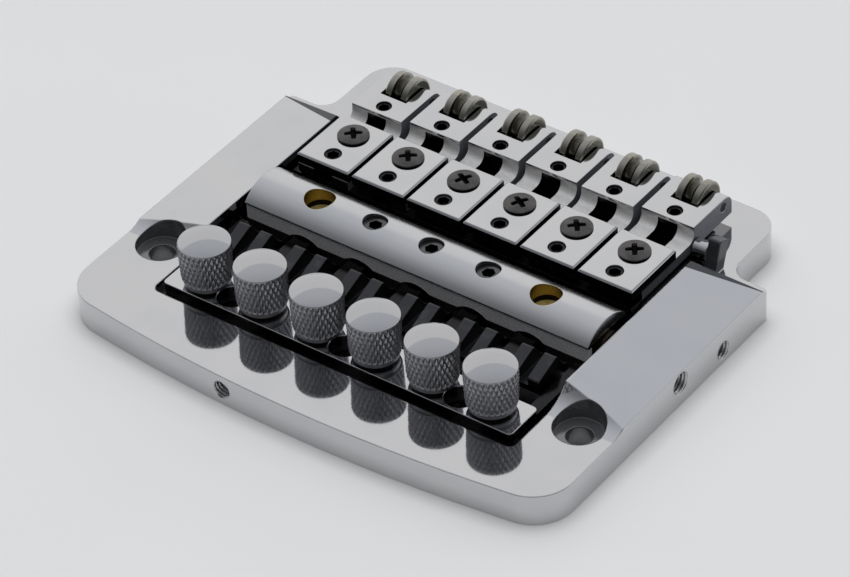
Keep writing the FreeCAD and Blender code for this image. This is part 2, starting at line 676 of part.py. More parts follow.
def cam_screws():
    """Return the three socket screws that clamp the bar, the block and the tuner plate."""
    screws = []
    top = CAM_SCREW_SEAT + CAM_SCREW_HEAD_HEIGHT
    for x in cam_screw_positions():
        head = rod_up(CAM_SCREW_HEAD_RADIUS, x, CAM_AXIS_Y, CAM_SCREW_SEAT, top)
        shank = rod_up(CAM_SCREW_RADIUS, x, CAM_AXIS_Y, WEB_BOTTOM, CAM_SCREW_SEAT)
        socket = hex_socket(x, CAM_AXIS_Y, top, SOCKET_WIDTH, SOCKET_DEPTH)
        screws.append(head.fuse(shank).cut(socket).removeSplitter())
    return Part.makeCompound(screws)


def spring_posts():
    """Return the two brass posts in the cam that the springs' rear loops hook on."""
    posts = []
    for side in (-1, 1):
        x = side * POST_HOLE_X
        neck = anchor_radius()
        profile = [
            (0, POST_FOOT),
            (neck + POST_LIP, POST_FOOT),
            (neck + POST_LIP, POST_FOOT + POST_LIP_HEIGHT),
            (neck, POST_FOOT + POST_LIP_HEIGHT),
            (neck, SPRING_POCKET_TOP),
            (POST_HOLE_RADIUS, SPRING_POCKET_TOP),
            (POST_HOLE_RADIUS, POST_TOP),
            (0, POST_TOP),
        ]
        posts.append(turned(profile, x, CAM_AXIS_Y))
    return Part.makeCompound(posts)


def tuner_plate():
    """Return the tuner plate with the webs that hold the hook rod and reach under the cam."""
    half = PLATE_WIDTH / 2
    slab = block(-half, half, PLATE_REAR_Y, PLATE_FRONT_Y, PLATE_BOTTOM, PLATE_TOP)
    corner_edges = upright_edges(slab, -BASE_WIDTH, BASE_WIDTH, -BASE_WIDTH, BASE_WIDTH)
    slab = slab.makeFillet(PLATE_CORNER, corner_edges)
    pieces = []
    overlap_y = PLATE_FRONT_Y - PLATE_CORNER
    for x in gap_positions():
        low = x - WEB_WIDTH / 2
        high = x + WEB_WIDTH / 2
        pieces.append(block(low, high, overlap_y, WEB_FRONT_Y, WEB_BOTTOM, WEB_TOP))
    for x in cam_screw_positions():
        low = x - FOOT_WIDTH / 2
        high = x + FOOT_WIDTH / 2
        pieces.append(block(low, high, WEB_FRONT_Y - OVERCUT, FOOT_FRONT_Y, WEB_BOTTOM, BLOCK_BOTTOM))
    for side in (-1, 1):
        low, high = sorted((side * (half - SIDE_WEB_WIDTH), side * half))
        pieces.append(block(low, high, overlap_y, SIDE_WEB_FRONT_Y, WEB_BOTTOM, WEB_TOP))
    body = slab.multiFuse(pieces).removeSplitter()
    cutters = [rod_across(ROD_RADIUS, -half, half, ROD_Y, ROD_HEIGHT)]
    for x in string_positions():
        cutters.append(rod_up(STUD_RADIUS + RUNNING_CLEARANCE, x, KNOB_Y, 0, BASE_WIDTH))
    for x in gap_positions()[::2]:
        cutters.append(rod_up(PLATE_HOLE_RADIUS, x, PLATE_HOLE_Y, 0, BASE_WIDTH))
    for x in cam_screw_positions():
        cutters.append(rod_up(CAM_SCREW_RADIUS + THREAD_CLEARANCE, x, CAM_AXIS_Y, 0, BASE_WIDTH))
    return body.cut(cutters)


def hook_rod():
    """Return the rod that the six string hooks turn on."""
    half = PLATE_WIDTH / 2
    return rod_across(ROD_RADIUS, -half, half, ROD_Y, ROD_HEIGHT)


def string_hook(x):
    """Return one forked string hook: hub on the rod, two prongs and a tail under the plate."""
    half = HOOK_WIDTH / 2
    corners = [
        point(0, PRONG_FRONT_Y, PRONG_FRONT_HEIGHT),
        point(0, PRONG_REAR_Y, PRONG_REAR_HEIGHT),
        point(0, HOOK_THROAT_Y, HOOK_THROAT_HEIGHT),
        point(0, TAIL_TURN_Y, TAIL_TOP),
        point(0, TAIL_END_Y, TAIL_TOP),
        point(0, TAIL_END_Y, TAIL_BOTTOM),
        point(0, ROD_Y, TAIL_BOTTOM),
        point(0, ROD_Y + HOOK_HUB_RADIUS, ROD_HEIGHT),
    ]
    body = side_profile(polygon_edges(corners), x - half, x + half)
    prong_edges = []
    for edge in body.Edges:
        box = edge.BoundBox
        if box.XLength > HOOK_WIDTH / 2 and edge.CenterOfMass.z > HOOK_SLOT_FLOOR:
            prong_edges.append(edge)
    body = body.makeFillet(PRONG_ROUND, prong_edges)
    body = body.fuse(rod_across(HOOK_HUB_RADIUS, x - half, x + half, ROD_Y, ROD_HEIGHT))
    slot = block(x - HOOK_SLOT / 2, x + HOOK_SLOT / 2, TAIL_TURN_Y - OVERCUT,
                 ROD_Y + HOOK_HUB_RADIUS + OVERCUT, HOOK_SLOT_FLOOR, PRONG_FRONT_HEIGHT + OVERCUT)
    bore = rod_across(ROD_RADIUS + RUNNING_CLEARANCE, x - half, x + half, ROD_Y, ROD_HEIGHT)
    return body.cut([slot, bore]).removeSplitter()


def tuner_stud(x):
    """Return the screw that a knob drives down on its hook's tail."""
    foot = TAIL_TOP + TIP_GAP
    profile = [
        (0, foot),
        (STUD_RADIUS - STUD_TIP, foot),
        (STUD_RADIUS, foot + STUD_TIP),
        (STUD_RADIUS, STUD_TOP),
        (0, STUD_TOP),
    ]
    return turned(profile, x, KNOB_Y)


def tuner_knob(x):
    """Return one tuner knob: collar, tapered barrel, undercut and crowned cap."""
    outline = [
        (0, KNOB_FOOT),
        (COLLAR_RADIUS, KNOB_FOOT),
        (COLLAR_RADIUS, COLLAR_TOP),
        (BARREL_FOOT_RADIUS, COLLAR_TOP),
        (BARREL_RADIUS, BARREL_TOP),
        (UNDERCUT_RADIUS, BARREL_TOP),
        (UNDERCUT_RADIUS, UNDERCUT_TOP),
        (CAP_RADIUS, UNDERCUT_TOP),
        (CAP_RADIUS, CAP_RIM_TOP),
    ]
    corners = [point(x + radius, KNOB_Y, height) for radius, height in outline]
    edges = [line(first, second) for first, second in zip(corners, corners[1:])]
    crown_radius = CAP_RADIUS - CAP_EDGE
    edge_mid = point(x + CAP_RADIUS - CAP_EDGE * (1 - math.sqrt(0.5)), KNOB_Y,
                     CAP_RIM_TOP + CAP_EDGE * math.sqrt(0.5))
    edge_end = point(x + crown_radius, KNOB_Y, CAP_RIM_TOP + CAP_EDGE)
    edges.append(arc(corners[-1], edge_mid, edge_end))
    crown, top = crown_arc(edge_end, x, CAP_CROWN)
    edges.append(crown)
    edges.append(line(top, corners[0]))
    knob = turned_edges(edges, x, KNOB_Y)
    return knob.cut(rod_up(STUD_RADIUS + RUNNING_CLEARANCE, x, KNOB_Y, 0, STUD_TOP))


def saddle_deck():
    """Return the deck under the saddles: stepped plate, front lip, side flanges, ears and boss."""
    half = DECK_HALF_WIDTH
    corners = [
        point(0, DECK_REAR_Y, DECK_BOTTOM),
        point(0, DECK_REAR_Y, DECK_TOP),
        point(0, STEP_Y, DECK_TOP),
        point(0, STEP_Y, STEP_TOP),
        point(0, LIP_FRONT_Y, STEP_TOP),
        point(0, LIP_FRONT_Y, LIP_BOTTOM),
        point(0, DECK_FRONT_Y, LIP_BOTTOM),
        point(0, DECK_FRONT_Y, DECK_BOTTOM),
    ]
    plate = side_profile(polygon_edges(corners), -half, half)
    pieces = []
    for side in (-1, 1):
        low, high = sorted((side * (SIDE_OUTER_X - SIDE_THICKNESS), side * SIDE_OUTER_X))
        rib_low, rib_high = sorted((side * (half - OVERCUT), side * SIDE_OUTER_X))
        pieces.append(block(low, high, DECK_REAR_Y, FLANGE_FRONT_Y, FLANGE_BOTTOM, SIDE_TOP))
        pieces.append(block(rib_low, rib_high, DECK_REAR_Y, DECK_FRONT_Y, DECK_BOTTOM, SIDE_TOP))
        pieces.append(block(low, high, EAR_REAR_Y, DECK_FRONT_Y, EAR_BOTTOM, SIDE_TOP))
    pieces.append(rod_across(BOSS_RADIUS, SIDE_OUTER_X - SIDE_THICKNESS, BOSS_END_X, BOSS_Y, BOSS_HEIGHT))
    body = plate.multiFuse(pieces).removeSplitter()
    bore_radius = DECK_PIN_RADIUS + RUNNING_CLEARANCE
    cutters = []
    for side in (-1, 1):
        low, high = sorted((side * half, side * BASE_WIDTH))
        cutters.append(rod_across(bore_radius, low, high, DECK_PIVOT_Y, DECK_PIVOT_HEIGHT))
    for x in string_positions():
        cutters.append(rod_up(LOCK_SHANK_RADIUS + THREAD_CLEARANCE, x, LOCK_SCREW_Y, 0, BASE_WIDTH))
    return body.cut(cutters)


def deck_pivot_pins():
    """Return the two dowel pins in the tongue that the deck tilts on."""
    inner = SIDE_OUTER_X - SIDE_THICKNESS
    return both_sides(rod_across(DECK_PIN_RADIUS, inner, DECK_PIN_END_X, DECK_PIVOT_Y, DECK_PIVOT_HEIGHT))


def deck_lock_screws():
    """Return the two grub screws in the rails that lock the deck by its flanges."""
    outer = BASE_WIDTH / 2 - LOCK_SCREW_RECESS
    inner = SIDE_OUTER_X + TIP_GAP
    radius = LOCK_HOLE_RADIUS - THREAD_CLEARANCE
    return both_sides(rod_across(radius, inner, outer, LOCK_HOLE_Y, LOCK_HOLE_HEIGHT))


def clamp_blocks():
    """Return the six clamp blocks that hold the saddle arms down on the deck."""
    blocks = []
    for x in string_positions():
        half = CLAMP_WIDTH / 2
        body = block(x - half, x + half, CLAMP_REAR_Y, CLAMP_FRONT_Y, FORK_TOP, CLAMP_TOP)
        top_edges = [edge for edge in body.Edges if edge.BoundBox.ZMin > CLAMP_TOP - CLAMP_EDGE]
        body = body.makeChamfer(CLAMP_EDGE, top_edges)
        lock_hole = rod_up(LOCK_SHANK_HOLE, x, LOCK_SCREW_Y, 0, BASE_WIDTH)
        heel_hole = rod_up(HEEL_SCREW_RADIUS + THREAD_CLEARANCE, x, HEEL_SCREW_Y, 0, BASE_WIDTH)
        blocks.append(body.cut([lock_hole, heel_hole]))
    return Part.makeCompound(blocks)


def lock_screws():
    """Return the six cross-head screws that clamp the blocks."""
    screws = []
    for x in string_positions():
        rim = CLAMP_TOP + LOCK_HEAD_RISE
        corners = [
            point(x, LOCK_SCREW_Y, LOCK_SHANK_END),
            point(x + LOCK_SHANK_RADIUS, LOCK_SCREW_Y, LOCK_SHANK_END),
            point(x + LOCK_SHANK_RADIUS, LOCK_SCREW_Y, CLAMP_TOP),
            point(x + LOCK_HEAD_RADIUS, LOCK_SCREW_Y, CLAMP_TOP),
            point(x + LOCK_HEAD_RADIUS, LOCK_SCREW_Y, rim),
        ]
        edges = [line(first, second) for first, second in zip(corners, corners[1:])]
        crown, top = crown_arc(corners[-1], x, LOCK_HEAD_CROWN)
        edges.append(crown)
        edges.append(line(top, corners[0]))
        screws.append(turned_edges(edges, x, LOCK_SCREW_Y))
    return Part.makeCompound(screws)


def heel_screws():
    """Return the six socket set screws that stand on the deck behind the lock screws."""
    screws = []
    for x in string_positions():
        top = CLAMP_TOP - HEEL_SCREW_SUNK
        screw = rod_up(HEEL_SCREW_RADIUS, x, HEEL_SCREW_Y, DECK_TOP, top)
        socket = hex_socket(x, HEEL_SCREW_Y, top, SOCKET_WIDTH - SLIP_CLEARANCE, SOCKET_DEPTH)
        screws.append(screw.cut(socket))
    return Part.makeCompound(screws)


def saddle_arm(x, shift):
    """Return one saddle arm: a fork under the clamp block and a coved neck up to a slotted head."""
    half = ARM_WIDTH / 2
    nose_mid = HEAD_NOSE_RADIUS * (1 - math.sqrt(0.5))
    rear_top = point(0, HEAD_REAR_Y, HEAD_TOP)
    nose_top = point(0, HEAD_FRONT_Y - HEAD_NOSE_RADIUS, HEAD_TOP)
    nose_middle = point(0, HEAD_FRONT_Y - nose_mid, HEAD_TOP - nose_mid)
    nose_front = point(0, HEAD_FRONT_Y, HEAD_TOP - HEAD_NOSE_RADIUS)
    chin = point(0, HEAD_FRONT_Y, HEAD_BOTTOM)
    chin_rear = point(0, HEAD_REAR_Y, HEAD_BOTTOM)
    step = point(0, FORK_STEP_Y, DECK_TOP)
    heel_low = point(0, FORK_REAR_Y, DECK_TOP)
    heel_high = point(0, FORK_REAR_Y, FORK_TOP)
    cove_mid = NECK_COVE * (1 - math.sqrt(0.5))
    cove_foot = point(0, HEAD_REAR_Y - NECK_COVE, FORK_TOP)
    cove_middle = point(0, HEAD_REAR_Y - cove_mid, FORK_TOP + cove_mid)
    cove_top = point(0, HEAD_REAR_Y, FORK_TOP + NECK_COVE)
    edges = [
        line(rear_top, nose_top),
        arc(nose_top, nose_middle, nose_front),
        line(nose_front, chin),
        line(chin, chin_rear),
        line(chin_rear, step),
        line(step, heel_low),
        line(heel_low, heel_high),
        line(heel_high, cove_foot),
        arc(cove_foot, cove_middle, cove_top),
        line(cove_top, rear_top),
    ]
    body = side_profile(edges, x - half, x + half)
    slot_half = FORK_SLOT / 2
    fork_slot = block(x - slot_half, x + slot_half, 0, FORK_SLOT_FRONT_Y, 0, HEAD_TOP - HEAD_LIP)
    roller_half = ROLLER_SLOT_WIDTH / 2
    roller_slot = block(x - roller_half, x + roller_half, ROLLER_SLOT_REAR_Y, HEAD_FRONT_Y + OVERCUT,
                        HEAD_BOTTOM - OVERCUT, HEAD_TOP + OVERCUT)
    axle_hole = rod_across(AXLE_RADIUS, x - half, x + half, ROLLER_Y, ROLLER_HEIGHT)
    screw_hole = rod_up(HEIGHT_SCREW_RADIUS + THREAD_CLEARANCE, x, HEIGHT_SCREW_Y, 0, BASE_WIDTH)
    body = body.cut([fork_slot, roller_slot, axle_hole, screw_hole])
    body.translate(point(0, shift, 0))
    return body


def height_screw(x, shift):
    """Return the socket set screw that stands a saddle's head on the deck."""
    y = HEIGHT_SCREW_Y + shift
    top = HEAD_TOP - HEIGHT_SCREW_SUNK
    screw = rod_up(HEIGHT_SCREW_RADIUS, x, y, STEP_TOP, top)
    return screw.cut(hex_socket(x, y, top, SOCKET_WIDTH - 2 * SLIP_CLEARANCE, SOCKET_DEPTH))


def roller_axle(x, shift):
    """Return the pin that a saddle's roller turns on."""
    half = ARM_WIDTH / 2
    return rod_across(AXLE_RADIUS, x - half, x + half, ROLLER_Y + shift, ROLLER_HEIGHT)


def saddle_roller(x, shift):
    """Return one string roller: two rounded flanges with a round-bottomed groove between them."""
    half = ROLLER_WIDTH / 2
    groove_half = half - ROLLER_FLANGE
    bore = AXLE_RADIUS + RUNNING_CLEARANCE
    shoulder = ROLLER_RADIUS - ROLLER_FLANGE_ROUND
    lean = ROLLER_FLANGE_ROUND * (1 - math.sqrt(0.5))
    side_low = point(-half, bore, 0)
    side_high = point(-half, shoulder, 0)
    outer_round = point(-half + lean, ROLLER_RADIUS - lean, 0)
    crown_out = point(-half + ROLLER_FLANGE_ROUND, ROLLER_RADIUS, 0)
    crown_in = point(-groove_half, ROLLER_RADIUS, 0)
    groove_floor = point(0, ROLLER_GROOVE_RADIUS, 0)
    mirror_in = point(groove_half, ROLLER_RADIUS, 0)
    mirror_out = point(half - ROLLER_FLANGE_ROUND, ROLLER_RADIUS, 0)
    mirror_round = point(half - lean, ROLLER_RADIUS - lean, 0)
    mirror_high = point(half, shoulder, 0)
    mirror_low = point(half, bore, 0)
    edges = [
        line(side_low, side_high),
        arc(side_high, outer_round, crown_out),
        line(crown_out, crown_in),
        arc(crown_in, groove_floor, mirror_in),
        line(mirror_in, mirror_out),
        arc(mirror_out, mirror_round, mirror_high),
        line(mirror_high, mirror_low),
        line(mirror_low, side_low),
    ]
    roller = Part.Face(Part.Wire(edges)).revolve(point(0, 0, 0), ACROSS, 360)
    roller.translate(point(x, ROLLER_Y + shift, ROLLER_HEIGHT))
    return roller


def spring_anchors():
    """Return the two posts in the tongue that the springs' front loops hook on."""
    post = rod_up(anchor_radius(), POST_HOLE_X, ANCHOR_Y, POST_FOOT, ANCHOR_SEAT_TOP)
    return both_sides(post)


def rounded_pair(first, first_way, last, last_way):
    """Return two arcs that join two points and leave and arrive along the given ways."""
    span = last - first
    both = first_way + last_way
    spread = 2 * (1 - first_way.dot(last_way))
    reach = (math.sqrt(span.dot(both) ** 2 + spread * span.dot(span)) - span.dot(both)) / spread
    first_corner = first + first_way * reach
    last_corner = last - last_way * reach
    middle = (first_corner + last_corner) * 0.5
    return [corner_arc(first, first_corner, middle), corner_arc(middle, last_corner, last)]


def corner_arc(first, corner, last):
    """Return the arc from first to last whose end tangents meet at the corner."""
    chord_middle = (first + last) * 0.5
    half_chord = (last - first).Length / 2
    rise = corner - chord_middle
    lean = math.atan2(rise.Length, half_chord)
    top = chord_middle + rise.normalize() * (half_chord * math.tan(lean / 2))
    return arc(first, top, last)


def spring_path():
    """Return the wire of one spring at X zero: rear loop, turns and front loop.

    Turn angle a gives x = -R sin a, z = axis - R cos a, so each end of the turns is at the
    bottom and runs across, straight into the loop round its post.
    """
    rear = CAM_AXIS_Y + SPRING_LOOP_RADIUS
    front = ANCHOR_Y - SPRING_LOOP_RADIUS
    pitch = (front - rear) / SPRING_TURNS
    rise = pitch / (2 * math.pi)
    steps = 4 * SPRING_TURNS
    places = []
    ways = []
    for step in range(steps + 1):
        angle = math.pi / 2 * step
        places.append(point(-SPRING_COIL_RADIUS * math.sin(angle), rear + rise * angle,
                            SPRING_AXIS_HEIGHT - SPRING_COIL_RADIUS * math.cos(angle)))
        climb = 0 if step in (0, steps) else rise
        way = point(-SPRING_COIL_RADIUS * math.cos(angle), climb, SPRING_COIL_RADIUS * math.sin(angle))
        ways.append(way.normalize())
    edges = loop_arcs(CAM_AXIS_Y, 1, -SPRING_LOOP_QUARTERS, 0)
    for step in range(steps):
        edges += rounded_pair(places[step], ways[step], places[step + 1], ways[step + 1])
    return Part.Wire(edges + loop_arcs(ANCHOR_Y, -1, 0, SPRING_LOOP_QUARTERS))


def loop_arcs(post_y, side, first_quarter, last_quarter):
    """Return the quarter arcs of an end loop round the post at post_y.

    Quarter turns count from the point where the loop meets the turns, on the given side.
    """
    low = SPRING_AXIS_HEIGHT - SPRING_COIL_RADIUS
    arcs = []
    for quarter in range(first_quarter, last_quarter):
        places = []
        for step in (0, 1, 2):
            angle = math.pi / 4 * (2 * quarter + step)
            places.append(point(-SPRING_LOOP_RADIUS * math.sin(angle),
                                post_y + side * SPRING_LOOP_RADIUS * math.cos(angle), low))
        arcs.append(arc(*places))
    return arcs


def tension_springs():
    """Return the two springs that pull the cam back, each one unbroken tube."""
    path = spring_path()
    start = path.Edges[0]
    place = start.valueAt(start.FirstParameter)
    way = start.tangentAt(start.FirstParameter)
    section = Part.Wire(Part.makeCircle(SPRING_WIRE_RADIUS, place, way))
    spring = path.makePipeShell([section], True, False)
    report_spring_gap(path)
    pair = []
    for side in (-1, 1):
        copy = spring.copy()
        copy.translate(point(side * POST_HOLE_X, 0, 0))
        pair.append(copy)
    return Part.makeCompound(pair)


def report_spring_gap(path):
    """Print the least gap between parts of the spring's wire that aren't neighbours."""
    count = SPRING_GAP_POINTS * SPRING_TURNS
    points = path.discretize(count)
    step = path.Length / (count - 1)
    skip = math.ceil(math.pi * SPRING_COIL_RADIUS / step)
    least = path.Length
    for index, first in enumerate(points):
        for second in points[index + skip:]:
            least = min(least, first.distanceToPoint(second))
    gap = least - 2 * SPRING_WIRE_RADIUS
    print("least gap between the spring's turns, mm:", round(gap, 2), "above", SPRING_GAP_MIN)


def all_nodes():
    """Return every node's shape under its name."""
    nodes = {
        "base_plate": base_plate(),
        "cam_pivot_screws": cam_pivot_screws(),
        "deck_pivot_pins": deck_pivot_pins(),
        "deck_lock_screws": deck_lock_screws(),
        "spring_anchors": spring_anchors(),
        "tension_springs": tension_springs(),
        "cam_bar": cam_bar(),
        "cam_block": cam_block(),
        "cam_bearings": cam_bearings(),
        "cam_screws": cam_screws(),
        "spring_posts": spring_posts(),
        "tuner_plate": tuner_plate(),
        "hook_rod": hook_rod(),
        "saddle_deck": saddle_deck(),
        "clamp_blocks": clamp_blocks(),
        "lock_screws": lock_screws(),
        "heel_screws": heel_screws(),
    }
    for number, (x, shift) in enumerate(zip(string_positions(), INTONATION), start=1):
        nodes[f"string_hook_{number}"] = string_hook(x)
        nodes[f"tuner_stud_{number}"] = tuner_stud(x)
        nodes[f"tuner_knob_{number}"] = tuner_knob(x)
        nodes[f"saddle_arm_{number}"] = saddle_arm(x, shift)
        nodes[f"height_screw_{number}"] = height_screw(x, shift)
        nodes[f"roller_axle_{number}"] = roller_axle(x, shift)
        nodes[f"saddle_roller_{number}"] = saddle_roller(x, shift)
    return nodes


def main():
    """Build every piece and write one file per node."""
    os.makedirs("parts", exist_ok=True)
    for name, shape in all_nodes().items():
        shape.exportStep(f"parts/{name}.step")


main()
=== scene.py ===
"""Looks of a six-string cam tremolo bridge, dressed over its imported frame, in metres.

Some solids show their own mesh, and some show a copy with softened edges. Knobs, studs, screws,
springs and threads are surfaces worked out with numpy. Sizes in the classes are millimetres
unless a class says otherwise, and angles are degrees.
"""

import json
import logging
import math
from collections.abc import Callable, Sequence
from dataclasses import dataclass, replace
from enum import Enum

import bmesh
import bpy
import numpy as np
from mathutils import Matrix, Vector


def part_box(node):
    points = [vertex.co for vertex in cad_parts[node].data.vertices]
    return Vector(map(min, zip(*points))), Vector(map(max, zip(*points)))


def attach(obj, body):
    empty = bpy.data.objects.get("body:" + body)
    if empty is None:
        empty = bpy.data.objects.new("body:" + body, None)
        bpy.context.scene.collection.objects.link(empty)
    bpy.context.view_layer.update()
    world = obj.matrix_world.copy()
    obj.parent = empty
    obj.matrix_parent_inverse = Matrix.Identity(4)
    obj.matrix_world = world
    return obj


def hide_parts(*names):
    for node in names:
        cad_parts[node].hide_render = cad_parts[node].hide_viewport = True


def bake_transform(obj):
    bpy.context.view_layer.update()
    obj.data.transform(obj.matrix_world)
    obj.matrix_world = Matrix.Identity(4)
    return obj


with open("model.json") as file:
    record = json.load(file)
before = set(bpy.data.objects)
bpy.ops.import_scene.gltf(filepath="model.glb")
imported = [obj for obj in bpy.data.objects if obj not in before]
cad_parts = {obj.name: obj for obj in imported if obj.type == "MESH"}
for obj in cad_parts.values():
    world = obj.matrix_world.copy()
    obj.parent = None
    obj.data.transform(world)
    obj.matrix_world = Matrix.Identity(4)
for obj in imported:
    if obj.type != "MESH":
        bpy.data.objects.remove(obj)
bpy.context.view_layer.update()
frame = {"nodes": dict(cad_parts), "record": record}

LOG = logging.getLogger("bridge")
MM = 0.001
STRINGS = range(1, 7)
TURN = 2 * math.pi
Array = np.ndarray
Number = float | int
Rgb = tuple[float, float, float]
Socket = bpy.types.NodeSocket
Colour = Rgb | Socket
EdgeTest = Callable[[Array], Array]
FaceTest = Callable[[Array, Array], Array]
BLACK = (0.006, 0.006, 0.006)
PLATING = (0.60, 0.60, 0.61)
DULL_PLATING = (0.57, 0.575, 0.59)
# The Mix node's colour sockets share their names with others, so they go by index.
MIX_INPUTS = (0, 6, 7)
MIX_OUTPUT = 2
EDGE_SAMPLES = 6
SMOOTH = {"interpolation_type": "SMOOTHSTEP"}
# Half of the height, in millimetres, over which painted shade fades in to black.
SHADE_FADE = 0.06
# Distances, in metres, under which points are one and faces are slivers.
MERGE = 1e-8
SLIVER = 1e-9


class Axis(Enum):
    """Directions that a turned piece may point in, as the frame that carries it there."""

    UP = ((1, 0, 0), (0, 1, 0), (0, 0, 1))
    RIGHT = ((0, 1, 0), (0, 0, 1), (1, 0, 0))
    LEFT = ((0, 0, 1), (0, 1, 0), (-1, 0, 0))
    REAR = ((1, 0, 0), (0, 0, 1), (0, -1, 0))


class Slot(Enum):
    """Names of the record's material slots."""

    CHROME_BASE = "chrome_base"
    CHROME_CAM = "chrome_cam"
    CHROME_PLATE = "chrome_plate"
    CHROME_DECK = "chrome_deck"
    CHROME_SADDLE = "chrome_saddle"
    CHROME_KNOB = "chrome_knob"
    CHROME_SCREW = "chrome_screw"
    DARK_STEEL = "dark_steel"
    HOOK_STEEL = "hook_steel"
    STEEL = "steel"
    BLACK_STEEL = "black_steel"
    GUNMETAL = "gunmetal"
    SPRING_WIRE = "spring_wire"
    NICKEL = "nickel"
    BRASS = "brass"
    BRONZE = "bronze"


class Value:
    """A shader socket that takes part in Python arithmetic."""

    def __init__(self, shader: "Shader", socket: Socket) -> None:
        """Keep the socket and the shader that owns it."""
        self.shader = shader
        self.socket = socket

    def _math(self, operation: str, *operands: "Value | Number") -> "Value":
        """Add a Math node on the operands and return its result."""
        node = self.shader.node("ShaderNodeMath", {"operation": operation}, dict(enumerate(operands)))
        return Value(self.shader, node.outputs[0])

    def __add__(self, other: "Value | Number") -> "Value":
        """Return self + other."""
        return self._math("ADD", self, other)

    __radd__ = __add__

    def __sub__(self, other: "Value | Number") -> "Value":
        """Return self - other."""
        return self._math("SUBTRACT", self, other)

    def __rsub__(self, other: Number) -> "Value":
        """Return other - self."""
        return self._math("SUBTRACT", other, self)

    def __mul__(self, other: "Value | Number") -> "Value":
        """Return self * other."""
        return self._math("MULTIPLY", self, other)

    __rmul__ = __mul__

    def sine(self) -> "Value":
        """Return the sine of an angle in radians."""
        return self._math("SINE", self)

    def root(self) -> "Value":
        """Return the square root."""
        return self._math("SQRT", self)

    def hypot(self, other: "Value") -> "Value":
        """Return the root of the sum of both squares."""
        return (self * self + other * other).root()

    def wrapped(self, step: Number) -> "Value":
        """Return the value less the nearest whole number of steps."""
        return self._math("WRAP", self, step / 2, -step / 2)

    def smooth(self, low: Number, high: Number) -> "Value":
        """Return a smooth step that rises from 0 at low to 1 at high."""
        inputs = {"Value": self, "From Min": low, "From Max": high}
        return self.shader.value("ShaderNodeMapRange", SMOOTH, inputs, "Result")

    def past(self, place: float, before: float, after: float) -> "Value":
        """Return a smooth step from before a place to after it, in millimetres."""
        return self.smooth((place - before) * MM, (place + after) * MM)


class Shader:
    """A node tree under construction."""

    def __init__(self, tree: bpy.types.NodeTree) -> None:
        """Start from an empty tree."""
        self.tree = tree
        self.tree.nodes.clear()

    def node(self, kind: str, settings: dict | None = None, inputs: dict | None = None) -> bpy.types.Node:
        """Add a node.

        Args:
            kind: The node's type.
            settings: Its properties, which are set first.
            inputs: Values or links of its sockets, by name or index.

        Returns:
            The node.
        """
        made = self.tree.nodes.new(kind)
        for name, value in (settings or {}).items():
            setattr(made, name, value)
        for name, value in (inputs or {}).items():
            source = value.socket if isinstance(value, Value) else value
            if isinstance(source, Socket):
                self.tree.links.new(source, made.inputs[name])
            else:
                made.inputs[name].default_value = source
        return made

    def value(self, kind: str, settings: dict, inputs: dict, output: str) -> Value:
        """Add a node and return one of its outputs as a value."""
        return Value(self, self.node(kind, settings, inputs).outputs[output])

    def place(self, scale: Sequence[Number] = (1, 1, 1)) -> Socket:
        """Return Object coordinates stretched by a scale per axis."""
        coordinates = self.node("ShaderNodeTexCoord").outputs["Object"]
        return self.node("ShaderNodeMapping", {}, {"Vector": coordinates, "Scale": scale}).outputs["Vector"]

    def axes(self) -> tuple[Value, ...]:
        """Return X, Y and Z of the Object coordinates, in metres."""
        parts = self.node("ShaderNodeSeparateXYZ", {}, {"Vector": self.place()})
        return tuple(Value(self, parts.outputs[name]) for name in "XYZ")

    def noise(self, size: float, detail: float, scale: Sequence[Number] = (1, 1, 1)) -> Value:
        """Return noise from 0 to 1.

        Args:
            size: Size of its patches in millimetres.
            detail: Octaves of finer noise.
            scale: Stretch of the coordinates per axis.

        Returns:
            The noise value.
        """
        inputs = {"Vector": self.place(scale), "Scale": 1 / (size * MM), "Detail": detail}
        return self.value("ShaderNodeTexNoise", {}, inputs, "Fac")

    def blend(self, factor: Value, first: Colour, second: Colour) -> Socket:
        """Return a colour between two.

        Args:
            factor: Share of the second colour, from 0 to 1.
            first: The first colour.
            second: The second colour.

        Returns:
            The mixed colour.
        """
        colours = [(*colour, 1) if isinstance(colour, tuple) else colour for colour in (first, second)]
        inputs = dict(zip(MIX_INPUTS, (factor, *colours)))
        return self.node("ShaderNodeMix", {"data_type": "RGBA"}, inputs).outputs[MIX_OUTPUT]

    def toward(self, direction: Sequence[Number]) -> Value:
        """Return the cosine between a world ray and a direction.

        Args:
            direction: The direction, of any length.

        Returns:
            The cosine, from -1 to 1.
        """
        ray = self.node("ShaderNodeTexCoord").outputs["Generated"]
        length = math.sqrt(sum(part * part for part in direction))
        unit = tuple(part / length for part in direction)
        return self.value("ShaderNodeVectorMath", {"operation": "DOT_PRODUCT"}, {0: ray, 1: unit}, "Value")

    def soft_edge(self, radius: float) -> Socket:
        """Return normals rounded over sharp edges, by a radius in millimetres."""
        node = self.node("ShaderNodeBevel", {"samples": EDGE_SAMPLES}, {"Radius": radius * MM})
        return node.outputs["Normal"]

    def bump(self, height: Value, depth: float, normal: Socket | None = None) -> Socket:
        """Return a bumped normal.

        Args:
            height: Height from 0 to 1.
            depth: Depth of the relief in millimetres.
            normal: A normal to build on.

        Returns:
            The Normal output of a Bump node.
        """
        inputs = {"Height": height, "Distance": depth * MM, "Strength": 1.0}
        if normal is not None:
            inputs["Normal"] = normal
        return self.node("ShaderNodeBump", {}, inputs).outputs["Normal"]

    def surface(self, inputs: dict) -> None:
        """Finish the tree with a Principled surface."""
        body = self.node("ShaderNodeBsdfPrincipled", {}, inputs)
        self.node("ShaderNodeOutputMaterial", {}, {"Surface": body.outputs["BSDF"]})


